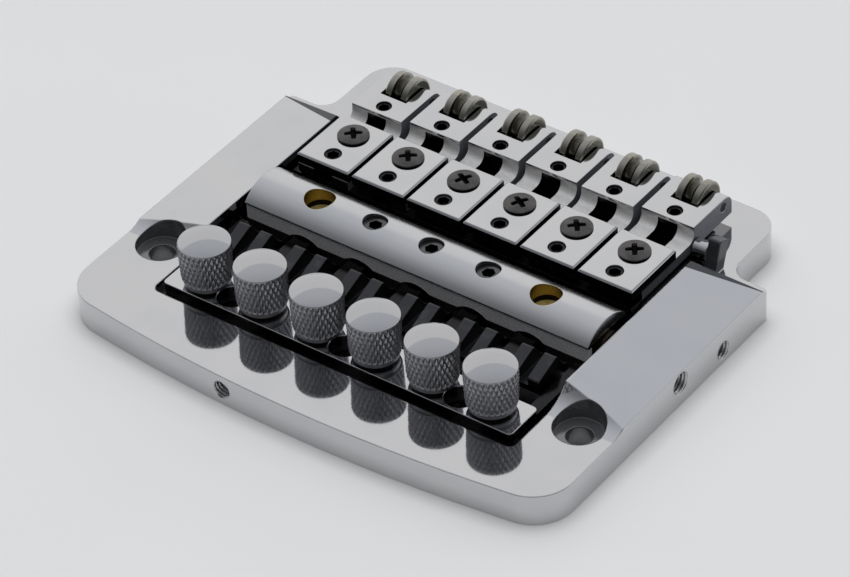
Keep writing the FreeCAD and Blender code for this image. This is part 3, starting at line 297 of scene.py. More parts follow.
@dataclass(frozen=True)
class Finish:
    """Plated metal: faint smears in the gloss over a slightly wavy surface.

    Noise sizes are millimetres, and an edge pair is where noise starts and ends its rise to 1.
    """

    name: str
    colour: Rgb
    stain: Rgb
    gloss: float
    smear: float
    relief: float
    edge: float = 0.0

    PATCH = 9.0
    PATCH_DETAIL = 3
    PATCH_EDGE = (0.35, 0.8)
    COARSE_SMEAR = 7.0
    FINE_SMEAR = 1.6
    WAVE = 5.0

    def patches(self, shader: Shader) -> Value:
        """Return the broad noise that drives the stains."""
        return shader.noise(self.PATCH, self.PATCH_DETAIL)

    def stained(self, shader: Shader, patches: Value) -> Socket:
        """Return the metal's colour, stained where the patches are strong."""
        return shader.blend(patches.smooth(*self.PATCH_EDGE), self.colour, self.stain)

    def polish(self, shader: Shader) -> Value:
        """Return the plating's roughness: coarse smears times fine ones, over the gloss."""
        smears = shader.noise(self.COARSE_SMEAR, 3) * shader.noise(self.FINE_SMEAR, 2)
        return smears * self.smear + self.gloss

    def waves(self, shader: Shader) -> Value:
        """Return the plating's slight waviness."""
        return shader.noise(self.WAVE, 1)

    def ground(self, shader: Shader) -> Socket | None:
        """Return normals rounded over the edges, or none where the finish has no edge radius."""
        return shader.soft_edge(self.edge) if self.edge else None

    def paint(self, shader: Shader) -> None:
        """Lay stained plating with its smears and waves.

        Args:
            shader: The material's node tree.
        """
        shader.surface({
            "Base Color": self.stained(shader, self.patches(shader)),
            "Metallic": 1.0,
            "Roughness": self.polish(shader),
            "Normal": shader.bump(self.waves(shader), self.relief, self.ground(shader)),
        })

    def material(self) -> bpy.types.Material:
        """Return the finish's material, made once."""
        found = bpy.data.materials.get(self.name)
        if found is None:
            found = bpy.data.materials.new(self.name)
            found.use_nodes = True
            self.paint(Shader(found.node_tree))
        return found


@dataclass(frozen=True)
class Brushed(Finish):
    """Steel with fine drawn lines along X."""

    PATCH = 3.0
    PATCH_DETAIL = 4
    PATCH_EDGE = (0.3, 0.75)
    LINE = 0.12
    STRETCH = (0.03, 1, 1)

    def paint(self, shader: Shader) -> None:
        """Lay long thin noise along X for the lines, over broad stains.

        Args:
            shader: The material's node tree.
        """
        lines = shader.noise(self.LINE, 2, self.STRETCH)
        shader.surface({
            "Base Color": self.stained(shader, self.patches(shader)),
            "Metallic": 1.0,
            "Roughness": lines * self.smear + self.gloss,
            "Normal": shader.bump(lines, self.relief),
        })


@dataclass(frozen=True)
class Blackened(Finish):
    """Black oxide on steel, with a fine grain and rubbed patches."""

    PATCH = 2.2
    PATCH_DETAIL = 4
    PATCH_EDGE = (0.5, 0.78)
    GRAIN = 0.1
    RUBBED_GLOSS = 0.06

    def paint(self, shader: Shader) -> None:
        """Lay a fine grain, with broad patches rubbed paler and smoother.

        Args:
            shader: The material's node tree.
        """
        grain = shader.noise(self.GRAIN, 3)
        rubbed = self.patches(shader).smooth(*self.PATCH_EDGE)
        shader.surface({
            "Base Color": shader.blend(rubbed, self.colour, self.stain),
            "Metallic": 1.0,
            "Roughness": grain * self.smear + self.gloss - rubbed * self.RUBBED_GLOSS,
            "Normal": shader.bump(grain, self.relief),
        })


@dataclass(frozen=True)
class Lathed(Finish):
    """Metal turned about an axis along X: fine rings at steps of X."""

    ring: float = 0.16

    PATCH = 1.2
    PATCH_DETAIL = 4
    PATCH_EDGE = (0.35, 0.7)

    def rings(self, distance: Value) -> Value:
        """Return rings from 0 to 1: the sine of a distance."""
        return (distance * (TURN / (self.ring * MM))).sine() * 0.5 + 0.5

    def paint(self, shader: Shader) -> None:
        """Lay rings along X over stains that drift.

        Args:
            shader: The material's node tree.
        """
        across, _, _ = shader.axes()
        patches = self.patches(shader)
        shader.surface({
            "Base Color": self.stained(shader, patches),
            "Metallic": 1.0,
            "Roughness": patches * self.smear + self.gloss,
            "Normal": shader.bump(self.rings(across), self.relief),
        })


@dataclass(frozen=True)
class Turned(Lathed):
    """Metal turned about upright axes that repeat along X: fine rings round each of them, with painted shade
    in black low down.
    """

    ring: float = 0.14
    pitch: float = 10.7
    start: float = 0.0
    centre: float = 0.0
    # Height in millimetres below which black is painted as shade.
    shade_level: float = 0.0
    metal: float = 1.0

    PATCH = 1.8

    def paint(self, shader: Shader) -> None:
        """Lay rings by the distance to the nearest axis, and painted shade in black below the shade level.

        Args:
            shader: The material's node tree.
        """
        across, along, height = shader.axes()
        nearest = (across - self.start * MM).wrapped(self.pitch * MM)
        radius = nearest.hypot(along - self.centre * MM)
        patches = self.patches(shader)
        # Painted shade: the colour turns black below the shade level.
        above = height.past(self.shade_level, SHADE_FADE, SHADE_FADE)
        shader.surface({
            "Base Color": shader.blend(above, BLACK, self.stained(shader, patches)),
            "Metallic": self.metal,
            "Roughness": patches * self.smear + self.gloss,
            "Normal": shader.bump(self.rings(radius), self.relief),
        })


@dataclass(frozen=True)
class Zoned(Finish):
    """Plated metal with a second, grainy colour in one zone of the piece: a finish of its own, or painted
    shade.

    The edge pair of a zone's border is its reach before and after its place, in millimetres.
    """

    zone_colour: Rgb = (0.3, 0.3, 0.3)
    zone_gloss: float = 0.3
    zone_metal: float = 1.0
    wear: float = 0.72

    GRAIN = 0.25
    GRAIN_EDGE = (0.3, 0.7)
    GRAIN_GLOSS = 0.1
    GRAIN_RELIEF = 0.3

    def zone(self, shader: Shader) -> Value:
        """Return 1 inside the zone and 0 outside it."""
        raise NotImplementedError

    def shade(self, shader: Shader, colour: Colour) -> Colour:
        """Return the zone's colour as it is."""
        return colour

    def paint(self, shader: Shader) -> None:
        """Lay smeared plating outside the zone, and the second finish inside it.

        Args:
            shader: The material's node tree.
        """
        zone = self.zone(shader)
        grain = shader.noise(self.GRAIN, 3)
        worn = tuple(part * self.wear for part in self.zone_colour)
        second = self.shade(shader, shader.blend(grain.smooth(*self.GRAIN_EDGE), self.zone_colour, worn))
        outside = self.polish(shader)
        inside = grain * self.GRAIN_GLOSS + self.zone_gloss
        relief = self.waves(shader) + grain * zone * self.GRAIN_RELIEF
        shader.surface({
            "Base Color": shader.blend(zone, self.stained(shader, self.patches(shader)), second),
            "Metallic": 1 - zone * (1 - self.zone_metal),
            "Roughness": outside + (inside - outside) * zone,
            "Normal": shader.bump(relief, self.relief, self.ground(shader)),
        })


@dataclass(frozen=True)
class BelowLevel(Zoned):
    """A second finish below a level, with painted shade in black below a lower level."""

    level: float = 0.0
    fade: float = 0.1
    # Height in millimetres below which black is painted as shade.
    shade_level: float = 0.0

    def zone(self, shader: Shader) -> Value:
        """Return 1 below the level and 0 above it."""
        _, _, height = shader.axes()
        return 1 - height.past(self.level, self.fade, self.fade)

    def shade(self, shader: Shader, colour: Colour) -> Colour:
        """Return the zone's colour, with painted shade in black below the shade level."""
        _, _, height = shader.axes()
        return shader.blend(height.past(self.shade_level, SHADE_FADE, SHADE_FADE), BLACK, colour)


@dataclass(frozen=True)
class RearFace(BelowLevel):
    """A second finish below a level, on what lies behind a line only."""

    line: float = 0.0

    def zone(self, shader: Shader) -> Value:
        """Return 1 below the level and behind the line."""
        _, along, _ = shader.axes()
        return super().zone(shader) * (1 - along.past(self.line, self.fade, self.fade))


@dataclass(frozen=True)
class LinedHoles(Zoned):
    """A second finish on the walls of two upright holes, one on each side of the middle."""

    hole_x: float = 0.0
    hole_y: float = 0.0
    hole_radius: float = 0.0

    WALL_EDGE = (-0.01, 0.05)

    def zone(self, shader: Shader) -> Value:
        """Return 1 nearer to a hole's axis than its radius, with a hair's margin.

        Args:
            shader: The material's node tree.

        Returns:
            The zone's share.
        """
        across, along, _ = shader.axes()
        side = (across * across).root() - self.hole_x * MM
        radius = side.hypot(along - self.hole_y * MM)
        return 1 - radius.past(self.hole_radius, *self.WALL_EDGE)


@dataclass(frozen=True)
class CastBase(LinedHoles):
    """Painted shade: a dark second finish on the rails' sloping ends and the lug, and a share of it in two
    counterbores.
    """

    level: float = 0.0
    line: float = 0.0
    slope: float = 1.631
    bore_share: float = 0.75

    LINE_EDGE = (0.05, 0.05)
    LEVEL_EDGE = (0, 0.06)

    def zone(self, shader: Shader) -> Value:
        """Return 1 above the level and in front of a sloping plane, and a share in the counterbores.

        Args:
            shader: The material's node tree.

        Returns:
            The zone's share.
        """
        _, along, height = shader.axes()
        ahead = (along + height * self.slope).past(self.line, *self.LINE_EDGE)
        ends = ahead * height.past(self.level, *self.LEVEL_EDGE)
        bores = super().zone(shader) * self.bore_share
        return ends + bores - ends * bores


@dataclass(frozen=True)
class Grooved(Zoned):
    """A second finish in a groove round an axis along X."""

    axis_y: float = 0.0
    axis_z: float = 0.0
    rim: float = 0.0

    RIM_EDGE = (0.6, -0.15)

    def zone(self, shader: Shader) -> Value:
        """Return 1 well inside the rim and 0 on it.

        Args:
            shader: The material's node tree.

        Returns:
            The zone's share.
        """
        _, along, height = shader.axes()
        radius = (along - self.axis_y * MM).hypot(height - self.axis_z * MM)
        return 1 - radius.past(self.rim, *self.RIM_EDGE)


@dataclass(frozen=True)
class TrebleEnd(Zoned):
    """A second finish above a level, beyond a line at the treble end; on the deck, the first finish
    elsewhere is painted shade.
    """

    line: float = 0.0
    level: float = 0.0

    END_EDGE = (0.02, 0.04)

    def zone(self, shader: Shader) -> Value:
        """Return 1 above the level and beyond the line."""
        across, _, height = shader.axes()
        return across.past(self.line, *self.END_EDGE) * height.past(self.level, *self.END_EDGE)


class Finishes:
    """The finish of each slot, and those that stand in for it on some pieces or faces, some of them painted
    shade.
    """

    CHROME = Finish("polished_chrome", PLATING, DULL_PLATING, gloss=0.035, smear=0.10, relief=0.004)
    # The base's zone is painted shade: dark on the rails' sloping ends and the lug, darker in the
    # counterbores.
    CAST_CHROME = CastBase(
        "cast_chrome", PLATING, DULL_PLATING, gloss=0.035, smear=0.10, relief=0.006, edge=0.35,
        zone_colour=(0.08, 0.082, 0.09), zone_gloss=0.16, zone_metal=0.7, wear=0.85,
        hole_x=39.4, hole_y=-18.6, hole_radius=4.1, level=5.57, line=31.72)
    BAR_CHROME = LinedHoles(
        "bar_chrome", PLATING, DULL_PLATING, gloss=0.2, smear=0.10, relief=0.004, edge=0.18,
        zone_colour=(0.5, 0.38, 0.13), hole_x=21.4, hole_y=-1.0, hole_radius=2.5)
    # Saddle arms: satin behind the head below 10.6 mm, and painted shade in black below 8.3 mm.
    SADDLE_CHROME = RearFace(
        "saddle_chrome", PLATING, DULL_PLATING, gloss=0.05, smear=0.10, relief=0.003,
        zone_colour=(0.66, 0.655, 0.65), zone_gloss=0.36, zone_metal=0.45, wear=0.86,
        level=10.6, fade=0.06, shade_level=8.3)
    # Painted shade: the arms' outer sides, dark grey all over.
    SADDLE_SHADED_SIDE = BelowLevel(
        "saddle_side_painted_shade", (0.2, 0.2, 0.21), (0.17, 0.17, 0.18), gloss=0.22, smear=0.12, relief=0.003,
        zone_colour=(0.2, 0.21, 0.235), zone_gloss=0.34, zone_metal=0.25, wear=0.9, level=20.0)
    # Painted shade: the clamp blocks near black on their sides, below the top's edge.
    CLAMP_CHROME = BelowLevel(
        "clamp_chrome", PLATING, DULL_PLATING, gloss=0.05, smear=0.10, relief=0.003,
        zone_colour=(0.04, 0.04, 0.042), zone_gloss=0.24, level=9.98, fade=0.05)
    # Painted shade: the tuner plate near black below its top face.
    PLATE_CHROME = BelowLevel(
        "plate_chrome", PLATING, DULL_PLATING, gloss=0.04, smear=0.08, relief=0.003,
        zone_colour=(0.03, 0.03, 0.032), zone_gloss=0.12, level=6.44, fade=0.03)
    KNOB_CHROME = BelowLevel(
        "knob_chrome", (0.49, 0.49, 0.50), (0.46, 0.465, 0.48), gloss=0.05, smear=0.10, relief=0.003,
        zone_colour=(0.42, 0.42, 0.44), zone_gloss=0.36, wear=0.8, level=14.5, fade=0.03)
    # Painted shade: the cam's sunk socket heads dark, and black below their rim.
    SOCKET_CHROME = BelowLevel(
        "socket_chrome", (0.12, 0.12, 0.122), (0.09, 0.09, 0.092), gloss=0.2, smear=0.1, relief=0.003,
        zone_colour=(0.012, 0.012, 0.012), fade=0.04)
    # Painted shade: the deck dark all over, with plain plating only on the treble end's top.
    DECK_CHROME = TrebleEnd(
        "deck_painted_shade", (0.08, 0.08, 0.083), (0.055, 0.055, 0.057),
        gloss=0.24, smear=0.14, relief=0.004, edge=0.08,
        zone_colour=PLATING, zone_gloss=0.05, wear=0.95, line=31.9, level=6.23)
    # Cam block: grey satin on its near face below 7.95 mm; elsewhere painted shade, near black, under the
    # bar, and black below 5.35 mm.
    DARK_STEEL = RearFace(
        "cast_block", (0.012, 0.012, 0.012), (0.02, 0.02, 0.02), gloss=0.3, smear=0.1, relief=0.02,
        zone_colour=(0.8, 0.8, 0.82), zone_gloss=0.4, zone_metal=0.25,
        level=7.95, fade=0.06, shade_level=5.35, line=-5.0)
    HOOK_STEEL = Blackened(
        "hook_black_steel", (0.065, 0.065, 0.068), (0.09, 0.09, 0.093), gloss=0.26, smear=0.14, relief=0.004)
    BLACK_STEEL = Blackened(
        "black_oxide", (0.035, 0.035, 0.037), (0.07, 0.07, 0.072), gloss=0.28, smear=0.16, relief=0.004)
    STEEL = Lathed(
        "turned_steel", (0.22, 0.22, 0.225), (0.16, 0.158, 0.155), gloss=0.2, smear=0.14, relief=0.004)
    WIRE = Brushed(
        "spring_wire_steel", (0.40, 0.40, 0.41), (0.28, 0.275, 0.27), gloss=0.22, smear=0.16, relief=0.004)
    NICKEL = Grooved(
        "roller_nickel", (0.37, 0.355, 0.31), (0.29, 0.28, 0.245), gloss=0.06, smear=0.1, relief=0.0012,
        zone_colour=(0.12, 0.115, 0.09), zone_gloss=0.1, wear=0.7)
    BRASS = Turned(
        "post_brass", (0.55, 0.42, 0.15), (0.36, 0.27, 0.09), gloss=0.22, smear=0.2, relief=0.006,
        ring=0.2, pitch=21.4, centre=-1.0, metal=0.4)
    BRONZE = Lathed(
        "bush_bronze", (0.13, 0.105, 0.08), (0.09, 0.07, 0.05), gloss=0.2, smear=0.16, relief=0.005)
    # Lock screws: painted shade in black below 10.52 mm, in the cross recess and round the head's foot.
    GUNMETAL = Turned(
        "screw_gunmetal", (0.125, 0.118, 0.116), (0.088, 0.084, 0.084), gloss=0.27, smear=0.16, relief=0.006,
        start=5.35, centre=14.9, shade_level=10.52)

    BY_SLOT = {
        Slot.CHROME_BASE: CAST_CHROME,
        Slot.CHROME_CAM: BAR_CHROME,
        Slot.CHROME_PLATE: PLATE_CHROME,
        Slot.CHROME_SADDLE: SADDLE_CHROME,
        Slot.CHROME_SCREW: CHROME,
        Slot.CHROME_KNOB: KNOB_CHROME,
        Slot.CHROME_DECK: DECK_CHROME,
        Slot.DARK_STEEL: DARK_STEEL,
        Slot.HOOK_STEEL: HOOK_STEEL,
        Slot.BLACK_STEEL: BLACK_STEEL,
        Slot.STEEL: STEEL,
        Slot.SPRING_WIRE: WIRE,
        Slot.NICKEL: NICKEL,
        Slot.BRASS: BRASS,
        Slot.BRONZE: BRONZE,
        Slot.GUNMETAL: GUNMETAL,
    }


@dataclass(frozen=True)
class Grid:
    """A surface as rows of points, each closed to a ring, with the rows closed too where asked."""

    points: Array
    wrap_rows: bool = False

    def quads(self) -> Array:
        """Return the corners of its quads: each point, its right, its upper right and its upper one."""
        rows, columns = self.points.shape[:2]
        row = np.arange(rows if self.wrap_rows else rows - 1)[:, None]
        column = np.arange(columns)[None, :]
        right = (column + 1) % columns
        first = row * columns
        above = (row + 1) % rows * columns
        corners = (first + column, first + right, above + right, above + column)
        return np.stack(np.broadcast_arrays(*corners), axis=-1).reshape(-1, 4)


@dataclass(frozen=True)
class Place:
    """A node's box at rest, in millimetres."""

    low: Array
    high: Array

    @classmethod
    def of(cls, node: str) -> "Place":
        """Return the place of a node."""
        low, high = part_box(node)
        return cls(np.array(low) / MM, np.array(high) / MM)

    @property
    def middle(self) -> Array:
        """The box's middle."""
        return (self.low + self.high) / 2

    def half(self, axis: int = 0) -> float:
        """Return half of the box's size along an axis."""
        return (self.high[axis] - self.low[axis]) / 2


def string_places() -> Array:
    """Return the X of each string, in millimetres, read from the knobs."""
    return np.array([Place.of(f"tuner_knob_{number}").middle[0] for number in STRINGS])


def angles(columns: int) -> Array:
    """Return evenly spaced angles round a full turn."""
    return np.arange(columns) * (TURN / columns)


def triangle_wave(phase: Array) -> Array:
    """Return 0 at whole phases, rising straight to 1 halfway between them."""
    return 1 - np.abs(2 * (phase % 1) - 1)


def smooth_step(value: Array, low: float, high: float) -> Array:
    """Return a smooth rise from 0 at low to 1 at high: 3t^2 - 2t^3."""
    share = np.clip((value - low) / (high - low), 0, 1)
    return share * share * (3 - 2 * share)


def rounded(corner: tuple[float, float], radius: float, start: float, end: float, steps: int) -> list:
    """Return points of an arc, in (radius, height): centre plus radius times (cos, sin) of the angle.

    Args:
        corner: The arc's centre.
        radius: The arc's radius.
        start: First angle in degrees.
        end: Last angle in degrees.
        steps: Number of points.

    Returns:
        The points, in order.
    """
    turn = np.radians(np.linspace(start, end, steps))
    return list(zip(corner[0] + radius * np.cos(turn), corner[1] + radius * np.sin(turn)))


def lathe(rows: Sequence[tuple], columns: int) -> Array:
    """Return points of a turned surface: (r cos a, r sin a, h) for each row and angle a.

    Args:
        rows: Radius and height of each row, or of a block of rows as arrays by row and column.
        columns: Number of angles.

    Returns:
        Points by row and column, about an upright axis.
    """
    flat = np.ones((1, columns))
    radius, height = (np.concatenate([row[part] * flat for row in rows]) for part in (0, 1))
    turn = angles(columns)[None, :]
    return np.stack([radius * np.cos(turn), radius * np.sin(turn), height], axis=-1)


def carried(points: Array, place: Sequence[float], axis: Axis = Axis.UP, spin: float = 0.0) -> Array:
    """Return points turned about their own axis, pointed along an axis and moved to a place.

    Args:
        points: Points about an upright axis at the origin.
        place: Where the origin goes.
        axis: The way that the upright axis points afterwards.
        spin: Turn about the axis in degrees.

    Returns:
        The moved points.
    """
    cosine, sine = math.cos(math.radians(spin)), math.sin(math.radians(spin))
    spun = points @ np.array([[cosine, sine, 0], [-sine, cosine, 0], [0, 0, 1]])
    return spun @ np.array(axis.value, float) + np.asarray(place, float)


def linked(name: str, data: bpy.types.ID) -> bpy.types.Object:
    """Make an object and link it to the scene.

    Args:
        name: The object's name.
        data: Its mesh, lamp or camera.

    Returns:
        The object.
    """
    made = bpy.data.objects.new(name, data)
    bpy.context.scene.collection.objects.link(made)
    return made


def surface_piece(name: str, grids: Sequence[Grid], sharp: float = 35.0) -> bpy.types.Object:
    """Make a mesh object of one or more grids of points in millimetres.

    Args:
        name: The piece's name.
        grids: Its surfaces.
        sharp: Angle in degrees over which an edge shows sharp.

    Returns:
        The object, at the origin, with poles and seams closed.
    """
    points = np.concatenate([grid.points.reshape(-1, 3) for grid in grids]) * MM
    starts = np.cumsum([0] + [grid.points.shape[0] * grid.points.shape[1] for grid in grids])
    quads = np.concatenate([grid.quads() + start for grid, start in zip(grids, starts)])
    mesh = bpy.data.meshes.new(name)
    mesh.vertices.add(len(points))
    mesh.vertices.foreach_set("co", points.astype(np.float32).ravel())
    mesh.loops.add(quads.size)
    mesh.loops.foreach_set("vertex_index", quads.astype(np.int32).ravel())
    mesh.polygons.add(len(quads))
    mesh.polygons.foreach_set("loop_start", np.arange(0, quads.size, 4, dtype=np.int32))
    mesh.update(calc_edges=True)
    shape = bmesh.new()
    shape.from_mesh(mesh)
    bmesh.ops.remove_doubles(shape, verts=shape.verts, dist=MERGE)
    bmesh.ops.dissolve_degenerate(shape, edges=shape.edges, dist=SLIVER)
    shape.to_mesh(mesh)
    shape.free()
    mesh.shade_smooth()
    mesh.set_sharp_from_angle(angle=math.radians(sharp))
    return linked(name, mesh)


def dress(piece: bpy.types.Object, slot: Slot, finish: Finish | None = None) -> None:
    """Give a piece its slot's finish, or a finish of its own."""
    piece.data.materials.clear()
    piece.data.materials.append((finish or Finishes.BY_SLOT[slot]).material())


def seat(piece: bpy.types.Object, body: str, slot: Slot, *nodes: str, finish: Finish | None = None) -> None:
    """Set a new piece on a body, dress it and log it.

    Args:
        piece: The piece.
        body: The body that it rides on.
        slot: Its material slot.
        nodes: The nodes that it stands for.
        finish: A finish other than the slot's.
    """
    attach(piece, body)
    if nodes:
        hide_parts(*nodes)
    dress(piece, slot, finish)
    LOG.info("%s rides on %s, %d faces", piece.name, body, len(piece.data.polygons))


@dataclass
class TunerKnobs:
    """Six knobs: a diamond-knurled barrel under a crowned polished cap."""

    bore: float = 1.65
    bore_cover: float = 2.75
    collar_inset: float = 0.6
    collar_height: float = 1.0
    collar_chamfer: float = 0.15
    collar_cove: float = 0.1
    barrel_height: float = 6.35
    barrel_inset: float = 0.02
    barrel_chamfer: float = 0.12
    taper: float = 0.2
    cap_inset: float = 0.16
    cap_edge: float = 0.12
    cap_lift: float = 0.06
    cap_turn: float = 72.0
    cap_rows: int = 7
    crown_rows: int = 14
    knurl_depth: float = 0.3
    knurl_crest: float = 0.85
    knurl_count: int = 30
    knurl_pitch: float = 2.0
    fade_low: float = 0.25
    fade_high: float = 0.12
    samples: int = 8
    spin: float = 37.0
    sharp: float = 24.0

    def barrel(self, cap: float, foot: float, columns: int) -> tuple[Array, Array]:
        """Work out the knurled barrel's rows.

        Two families of V grooves cross: their phases are n a / 2 pi + h / p and n a / 2 pi - h / p.
        The lower of the two triangle waves makes the diamonds, which fade out at both ends.

        Args:
            cap: Radius of the cap.
            foot: Height of the barrel's foot.
            columns: Number of angles.

        Returns:
            Radius by row and column, and height by row.
        """
        rows = int(self.barrel_height / self.knurl_pitch * self.samples)
        height = np.linspace(0, self.barrel_height, rows)[:, None]
        around = angles(columns)[None, :] * self.knurl_count / TURN
        climb = height / self.knurl_pitch
        diamonds = np.minimum(triangle_wave(around + climb), triangle_wave(around - climb))
        outer = cap - self.barrel_inset - self.taper * (1 - height / self.barrel_height)
        from_top = self.barrel_height - height
        fade = smooth_step(height, 0, self.fade_low) * smooth_step(from_top, 0, self.fade_high)
        groove = self.knurl_depth * (1 - np.minimum(diamonds, self.knurl_crest) / self.knurl_crest)
        return outer - groove * fade - self.barrel_chamfer * (1 - fade), foot + height

    def profile(self, cap: float, low: float, high: float) -> tuple[list, list]:
        """Return the plain rows below and above the barrel, as (radius, height).

        The crown's height falls with the square of the radius.

        Args:
            cap: Radius of the cap.
            low: Height of the knob's foot.
            high: Height of the crown.

        Returns:
            Rows from the bore's roof to the barrel, and from the barrel to the crown's top.
        """
        collar = cap - self.collar_inset
        step = low + self.collar_height
        chamfer, cove = self.collar_chamfer, self.collar_cove
        below = [(0, high - self.bore_cover), (self.bore, high - self.bore_cover), (self.bore, low)]
        below += [(collar - chamfer, low), (collar, low + chamfer)]
        below += [(collar, step - cove), (collar + cove, step)]
        edge = (cap - self.cap_inset - self.cap_edge, step + self.barrel_height + self.cap_lift)
        above = rounded(edge, self.cap_edge, 0, self.cap_turn, self.cap_rows)
        reach, start = above[-1]
        share = np.linspace(1, 0, self.crown_rows)[1:]
        above += list(zip(reach * share, start + (high - start) * (1 - share * share)))
        return below, above

    def build(self) -> None:
        """Make and seat the six knobs."""
        columns = self.knurl_count * self.samples
        for number in STRINGS:
            node = f"tuner_knob_{number}"
            place = Place.of(node)
            low, high = place.low[2], place.high[2]
            below, above = self.profile(place.half(), low, high)
            barrel = self.barrel(place.half(), low + self.collar_height, columns)
            points = lathe([*below, barrel, *above], columns)
            grid = Grid(carried(points, (*place.middle[:2], 0), spin=self.spin * number))
            piece = surface_piece(f"knurled_knob_{number}", [grid], self.sharp)
            seat(piece, f"knob_{number}", Slot.CHROME_KNOB, node)


@dataclass
class TunerStuds:
    """Six threaded studs under the knobs."""

    pitch: float = 0.7
    depth: float = 0.24
    tip: float = 0.5
    clearance: float = 0.03
    columns: int = 32
    rows_per_turn: int = 8

    def build(self) -> None:
        """Make and seat the studs: radius less the depth of a triangle wave of height and angle."""
        for number in STRINGS:
            node = f"tuner_stud_{number}"
            place = Place.of(node)
            outer = place.half() - self.clearance
            low, high = place.low[2], place.high[2] - self.clearance
            rows = int((high - low - self.tip) / self.pitch * self.rows_per_turn)
            height = np.linspace(low + self.tip, high, rows)[:, None]
            phase = height / self.pitch + angles(self.columns)[None, :] / TURN
            thread = outer - self.depth * (1 - triangle_wave(phase))
            points = lathe([(0, low), (outer - self.tip, low), (thread, height), (0, high)], self.columns)
            piece = surface_piece(f"threaded_stud_{number}", [Grid(carried(points, (*place.middle[:2], 0)))])
            seat(piece, f"stud_{number}", Slot.STEEL, node)


@dataclass
class LockScrews:
    """Six cross-head screws on the clamp blocks."""

    shank: float = 1.25
    rise: float = 0.35
    rim_chamfer: float = 0.06
    rim_drop: float = 0.1
    dome_inset: float = 0.07
    arm: float = 1.42
    half_width: float = 0.36
    inner_width: float = 1.12
    narrowing: float = 0.22
    depth: float = 1.0
    end_depth: float = 0.45
    wall: float = 0.07
    end_wall: float = 2.5
    columns: int = 144
    rows: int = 44
    sharp: float = 30.0
    spins: tuple[float, ...] = (40, 38, 62, 60, 40, 36)

    def recess(self, radius: Array, turn: Array) -> Array:
        """Work out how deep the cross is sunk.

        Each of two arms is a bar with steep walls: smooth steps of its half width less |v| and of
        its length less |u|. The floor falls towards the middle.

        Args:
            radius: Distance from the screw's axis.
            turn: Angle round it.

        Returns:
            Depth in millimetres.
        """
        across, along = radius * np.cos(turn), radius * np.sin(turn)
        fall = np.clip(1 - radius / self.arm, 0, 1)
        floor = self.depth * (self.end_depth + (1 - self.end_depth) * fall)
        bars = []
        for u, v in ((across, along), (along, across)):
            width = self.half_width * (self.inner_width - self.narrowing * np.abs(u) / self.arm)
            inside = smooth_step(width - np.abs(v), -self.wall, self.wall)
            bars.append(inside * smooth_step(self.arm - np.abs(u), -self.wall, self.wall * self.end_wall))
        return np.maximum(*bars) * floor

    def screw(self, low: float, seat_height: float, head: float, top: float) -> Array:
        """Return a screw's points: shank, rim and a shallow dome with its cross.

        The dome's height falls with the square of the radius.

        Args:
            low: Height of the shank's end.
            seat_height: Height of the head's underside.
            head: The head's radius.
            top: Height of the dome's top.

        Returns:
            Points by row and column.
        """
        rim = seat_height + self.rise
        chamfer = self.rim_chamfer
        stem = [(0, low), (self.shank, low), (self.shank, seat_height), (head - chamfer, seat_height)]
        stem += [(head, seat_height + chamfer), (head, rim - self.rim_drop)]
        radius = np.linspace(head - self.dome_inset, 0, self.rows)[:, None] * np.ones((1, self.columns))
        dome = rim + (top - rim) * (1 - (radius / head) ** 2)
        cross = self.recess(radius, angles(self.columns)[None, :])
        return lathe([*stem, (radius, dome - cross)], self.columns)

    def build(self) -> None:
        """Make and seat the six screws as one piece."""
        place = Place.of("lock_screws")
        strings = string_places()
        head = strings[0] - place.low[0]
        points = self.screw(place.low[2], Place.of("clamp_blocks").high[2], head, place.high[2])
        places = [(x, place.middle[1], 0) for x in strings]
        grids = [Grid(carried(points, where, spin=spin)) for where, spin in zip(places, self.spins)]
        seat(surface_piece("cross_head_screws", grids, self.sharp), "deck", Slot.GUNMETAL, "lock_screws")


